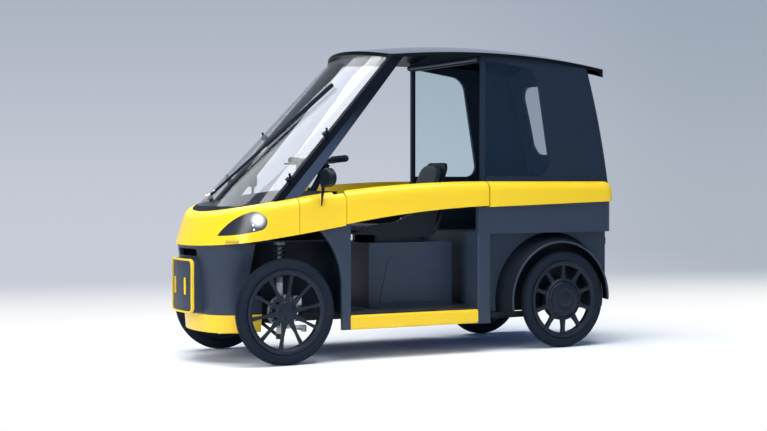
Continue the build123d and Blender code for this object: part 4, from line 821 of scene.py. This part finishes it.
def dress_lamps():
    """Lit dishes of the headlamps, and the turn signals in the nose."""
    dishes = [lamp_dish(MAIN_DISH_R, 0, 0)]
    for ahead, down in SMALL_DISHES:
        dishes.append(lamp_dish(SMALL_DISH_R, ahead, down))
    both_sides(joined("headlight_left", dishes), "chassis", "lamp_lens", lamp_light("lamp_white"))
    place, normal = on_surface("nose_cowl", SIGNAL_FROM, SIGNAL_AIM)
    bar = begin("signal_left", bpy.ops.mesh.primitive_cube_add, size=1, scale=SIGNAL_SIZE)
    bevelled(bar, 0.0022, 3)
    along = normal.cross(UP).normalized()
    rise = normal.cross(along) * -1
    bar.matrix_world = Matrix((along, rise, normal)).transposed().to_4x4()
    bar.location = place - normal * SIGNAL_SINK
    apply_place()
    both_sides(bar, "chassis", "lamp_lens", signal_lens("amber_lens"))


def dress_mirrors():
    """Mirror panes in the rear faces of the mirror heads."""
    silver = metal("mirror_silver", (0.86, 0.88, 0.9), 0.02, EVENLY)
    pane = begin("mirror_pane_left", bpy.ops.mesh.primitive_cylinder_add, vertices=48, radius=1, depth=1,
                 scale=MIRROR_SIZE)
    bevelled(pane, 0.0008)
    pick(pane, facing(UP))
    bpy.ops.mesh.inset(thickness=0.004, depth=-0.0008)
    both_sides(swing(pane, BACKWARD, MIRROR_AT), "chassis", "bare_metal", silver)


# Handlebar, guards, roof, wiper and floor


def dress_handlebar():
    """Ribbed grips, and the console on the bar's middle with its small display."""
    along = GRIP_OUTER - GRIP_INNER
    length = along.length
    ribs = [begin("grip_left", bpy.ops.mesh.primitive_cylinder_add, vertices=32, radius=GRIP_R, depth=length,
                  location=(0, 0, length / 2), end_fill_type="NGON")]
    for index in range(GRIP_RINGS):
        height = length * (index + 0.8) / (GRIP_RINGS + 0.6)
        ribs.append(begin("rib", bpy.ops.mesh.primitive_torus_add, major_segments=32, minor_segments=8,
                          major_radius=GRIP_R, minor_radius=RING_R, location=(0, 0, height)))
    both_sides(swing(joined("grip_left", ribs), along, GRIP_INNER), "handlebar", "tyre_rubber")
    console = begin("bar_console", bpy.ops.mesh.primitive_cube_add, size=1, scale=CONSOLE_SIZE,
                    location=CONSOLE_AT)
    pick(console, facing(FORWARD))
    bpy.ops.mesh.inset(thickness=0.012, depth=0.010)
    pick(console, both_ends(LEFT))
    bpy.ops.mesh.inset(thickness=0.014, depth=-0.002)
    settle(bevelled(console, 0.006, 3), "handlebar", "black_trim")
    face = begin("bar_display", bpy.ops.mesh.primitive_cube_add, size=1, scale=DISPLAY_SIZE)
    pick(face, facing(UP))
    bpy.ops.mesh.inset(thickness=0.006, depth=0)
    bpy.ops.mesh.inset(thickness=0.0006, depth=-0.0015)
    bevelled(face, 0.003, 3)
    settle(swing(face, DISPLAY_FACING, DISPLAY_AT), "handlebar", "lamp_lens")


def dress_guards():
    """Rolled edge of each rear mudguard, and the stay under its front end."""
    rim = begin("guard_rim_left", bpy.ops.mesh.primitive_torus_add, major_segments=120, minor_segments=12,
                major_radius=GUARD_RIM_R, minor_radius=GUARD_ROLL_R, rotation=ROUND_Y, location=GUARD_AT)

    def below(centre, normal):
        turn = atan2(centre.z - GUARD_AT.z, centre.x - GUARD_AT.x)
        return not -GUARD_LOW < (turn + pi / 2) % (2 * pi) - pi / 2 < pi

    pick(rim, below)
    bpy.ops.mesh.delete(type="FACE")
    bpy.ops.mesh.select_all(action="SELECT")
    bpy.ops.mesh.fill_holes(sides=0)
    stay = begin("stay", bpy.ops.mesh.primitive_cube_add, size=1, scale=STAY_SIZE, location=STAY_AT)
    pick(stay, facing(LEFT))
    bpy.ops.mesh.inset(thickness=0.006, depth=-0.004)
    tab = begin("tab", bpy.ops.mesh.primitive_cube_add, size=1, scale=TAB_SIZE, location=TAB_AT)
    pick(tab, facing(LEFT))
    bpy.ops.mesh.inset(thickness=0.002, depth=0.002)
    stay = joined("guard_stay_left", [bevelled(stay, 0.002), bevelled(tab, 0.001)])
    both_sides(rim, "chassis", "black_trim", FINISHES["slate_panel"])
    both_sides(stay, "chassis", "black_trim")


def dress_roof():
    """Tube under the hoop's top, with a round end fitting each side."""
    tube = begin("roof_tube", bpy.ops.mesh.primitive_cylinder_add, vertices=28, radius=TUBE_R,
                 depth=2 * TUBE_HALF, rotation=ROUND_Y, location=(TUBE_X, 0, TUBE_Z))
    pick(tube, both_ends(LEFT))
    bpy.ops.mesh.inset(thickness=0.002, depth=0)
    pieces = [tube]
    for y in (TUBE_HALF, -TUBE_HALF):
        knob = begin("knob", bpy.ops.mesh.primitive_uv_sphere_add, segments=24, ring_count=14, radius=KNOB_R,
                     location=(TUBE_X, y, TUBE_Z))
        pick_all(knob)
        bpy.ops.transform.resize(value=(1, KNOB_SQUASH, 1))
        pieces.append(knob)
    settle(joined("roof_tube", pieces), "chassis", "frame_tube", FINISHES["slate_panel"])


def dress_wiper():
    """Arm, blade and bright fittings of the wiper."""
    hold = BLADE_LOW.lerp(BLADE_HIGH, BLADE_HOLD)
    fittings = ((WIPER_FOOT, 0.015), (WIPER_FOOT.lerp(hold, 0.07), 0.009),
                (WIPER_FOOT - WIPER_LIFT * 1.2, 0.011))
    bits = []
    for place, size in fittings:
        bit = begin("fitting", bpy.ops.mesh.primitive_cylinder_add, vertices=20, radius=size,
                    depth=size * 1.5)
        pick(bit, facing(UP))
        bpy.ops.mesh.inset(thickness=size * 0.3, depth=size * 0.25)
        bpy.ops.mesh.inset(thickness=size * 0.25, depth=-size * 0.2)
        bits.append(swing(bevelled(bit, size * 0.08), WIPER_LIFT, place))
    settle(joined("wiper_fittings", bits), "chassis", "bare_metal")
    strips = []
    for start, end, wide, deep in ((WIPER_FOOT, hold, 0.020, 0.012), (BLADE_LOW, BLADE_HIGH, 0.011, 0.022)):
        length = (end - start).length
        strip = begin("strip", bpy.ops.mesh.primitive_cube_add, size=1, scale=(wide, deep, length),
                      location=(0, 0, length / 2))
        pick(strip, both_ends(UP))
        bpy.ops.mesh.inset(thickness=wide * 0.2, depth=wide * 0.3)
        strips.append(swing(bevelled(strip, wide * 0.12), end - start, start))
    settle(joined("wiper_strips", strips), "chassis", "tyre_rubber")


def floor_mats():
    """Ribbed rubber mats in the footwells."""
    mat = begin("floor_mat_left", bpy.ops.mesh.primitive_grid_add, x_subdivisions=1,
                y_subdivisions=MAT_STRIPS, size=1)
    pick_all(mat)
    bpy.ops.transform.resize(value=MAT_SIZE)
    bpy.ops.transform.translate(value=MAT_AT)
    bpy.ops.mesh.extrude_region_move(TRANSFORM_OT_translate={"value": (0, 0, MAT_T)})

    def rib(centre, normal):
        strip = int((centre.y - MAT_EDGE_Y) / MAT_PITCH)
        return normal.z > 0.5 and centre.z > MAT_AT[2] + MAT_T / 2 and strip % 2 == 1

    pick(mat, rib)
    bpy.ops.mesh.inset(thickness=0.0012, depth=MAT_RIB)
    both_sides(mat, "chassis", "floor_plate")


dress_wheels()
dress_springs()
seat_pads()
dress_lamps()
dress_mirrors()
dress_handlebar()
dress_guards()
dress_roof()
dress_wiper()
floor_mats()


# Studio: wall behind a pale floor, soft lights and the camera


def dot(tree, place, direction):
    """Distance along a direction."""
    return tree.node("ShaderNodeVectorMath", {"operation": "DOT_PRODUCT"}, {0: place, 1: direction}, "Value")


def seen(tree, *kinds):
    """1 for rays of the kinds named."""
    rays = [tree.node("ShaderNodeLightPath", None, None, kind) for kind in kinds]
    return sum(rays[1:], rays[0])


def seen_directly(tree):
    """1 for what the camera sees, straight or in metal and glass."""
    return seen(tree, "Is Camera Ray", "Is Glossy Ray", "Is Transmission Ray")


def glow(tree, colour):
    """Even light of its own."""
    return tree.node("ShaderNodeEmission", None, {"Color": colour, "Strength": 1.0})


def studio_stage():
    """Pale floor with a faint blue glow near the vehicle, painted blue shade in its shadow,
    and a wall far behind the vehicle that deepens upwards and to the right.
    """
    flat = Vector((AHEAD.x, AHEAD.y, 0)).normalized()
    right = Vector((flat.y, -flat.x, 0))
    floor = begin("studio_floor", bpy.ops.mesh.primitive_plane_add, size=STAGE_SIZE)
    made, tree, place = material("studio_floor")
    across = dot(tree, place, right)
    fade = (dot(tree, place, flat) - FLOOR_SLANT * across - FLOOR_START).step(*FLOOR_FADE)
    far = tree.node("ShaderNodeVectorMath", {"operation": "LENGTH"}, {0: place}, "Value").step(*FLOOR_GLOW)
    wall_foot = across.step(*WALL_TURN).tint(WALL_LOW, WALL_RIGHT_LOW)
    white = tree.node("ShaderNodeBsdfDiffuse", None, {"Color": (0.92, 0.93, 0.95, 1.0)})
    # Painted shade: faint blue glow near the vehicle, tinting its shadow
    painted_shade_glow = far.step(*SHADE_REACH).tint(SHADE_TINT, WHITE)
    share = seen_directly(tree) * (1 - (1 - fade) * (1 - far) * SHADE_SHARE)
    close(tree, mixed(tree, share, white, glow(tree, fade.tint(painted_shade_glow, wall_foot))))
    floor.data.materials.append(made)
    wall = begin("studio_wall", bpy.ops.mesh.primitive_plane_add, size=STAGE_SIZE)
    swing(wall, -flat, flat * WALL_BEHIND)
    made, tree, place = material("studio_wall")
    rise = place.part("Z").step(*WALL_RISE)
    side = dot(tree, place, right).step(*WALL_TURN)
    shade = side.tint(rise.tint(WALL_LOW, WALL_HIGH), rise.tint(WALL_RIGHT_LOW, WALL_RIGHT_HIGH))
    dim = tree.node("ShaderNodeBsdfDiffuse", None, {"Color": (0.5, 0.52, 0.56, 1.0)})
    close(tree, mixed(tree, seen_directly(tree), dim, glow(tree, shade)))
    wall.data.materials.append(made)


def studio_light(name, place, aim, size, power, colour):
    """Soft rectangular lamp turned to a point."""
    lamp = bpy.data.lights.new(name, "AREA")
    lamp.shape = "RECTANGLE"
    lamp.size, lamp.size_y = size
    lamp.energy = power
    lamp.color = colour
    holder = bpy.data.objects.new(name, lamp)
    holder.location = place
    holder.rotation_euler = (Vector(aim) - Vector(place)).to_track_quat("-Z", "Y").to_euler()
    bpy.context.scene.collection.objects.link(holder)


def studio_world():
    """Even sky light, seen by the camera as the wall's lavender grey."""
    world = bpy.data.worlds.new("studio_world")
    world.use_nodes = True
    world.node_tree.nodes.clear()
    tree = Wire(world.node_tree)
    sky = tree.node("ShaderNodeBackground", None, {"Color": (0.36, 0.62, 1.0, 1.0), "Strength": 0.30})
    wall = tree.node("ShaderNodeBackground", None, {"Color": (0.48, 0.51, 0.58, 1.0), "Strength": 1.0})
    shader = mixed(tree, seen(tree, "Is Camera Ray", "Is Transmission Ray"), sky, wall)
    output = tree.tree.nodes.new("ShaderNodeOutputWorld")
    tree.tree.links.new(shader.socket, output.inputs["Surface"])
    bpy.context.scene.world = world


def studio_camera():
    """Camera at the photograph's viewing angle."""
    lens = bpy.data.cameras.new("studio_camera")
    lens.lens = LENS
    lens.sensor_width = SENSOR
    holder = bpy.data.objects.new("studio_camera", lens)
    holder.location = CAMERA_AT
    holder.rotation_euler = AHEAD.to_track_quat("-Z", "Y").to_euler()
    bpy.context.scene.collection.objects.link(holder)
    bpy.context.scene.camera = holder


# Lights: name, place, aim, size, power, colour
LIGHTS = (
    ("light_above", (0.4, 0.6, 4.2), (0, 0, 0), (4.6, 3.4), 305, (1.0, 0.99, 0.97)),
    ("light_front", (4.6, 2.6, 2.0), (0.6, 0, 0.7), (2.4, 1.8), 118, (1.0, 0.99, 0.97)),
    ("light_side", (-1.0, 5.5, 2.2), (-0.2, 0, 0.6), (3.4, 1.8), 26, (0.80, 0.90, 1.0)),
    ("light_far", (1.9, -2.2, 4.05), (0.65, 0.2, 1.1), (3.0, 2.4), 92, (0.93, 0.96, 1.0)),
)

studio_stage()
for light in LIGHTS:
    studio_light(*light)
studio_world()
studio_camera()
bpy.context.scene.view_settings.view_transform = "Standard"
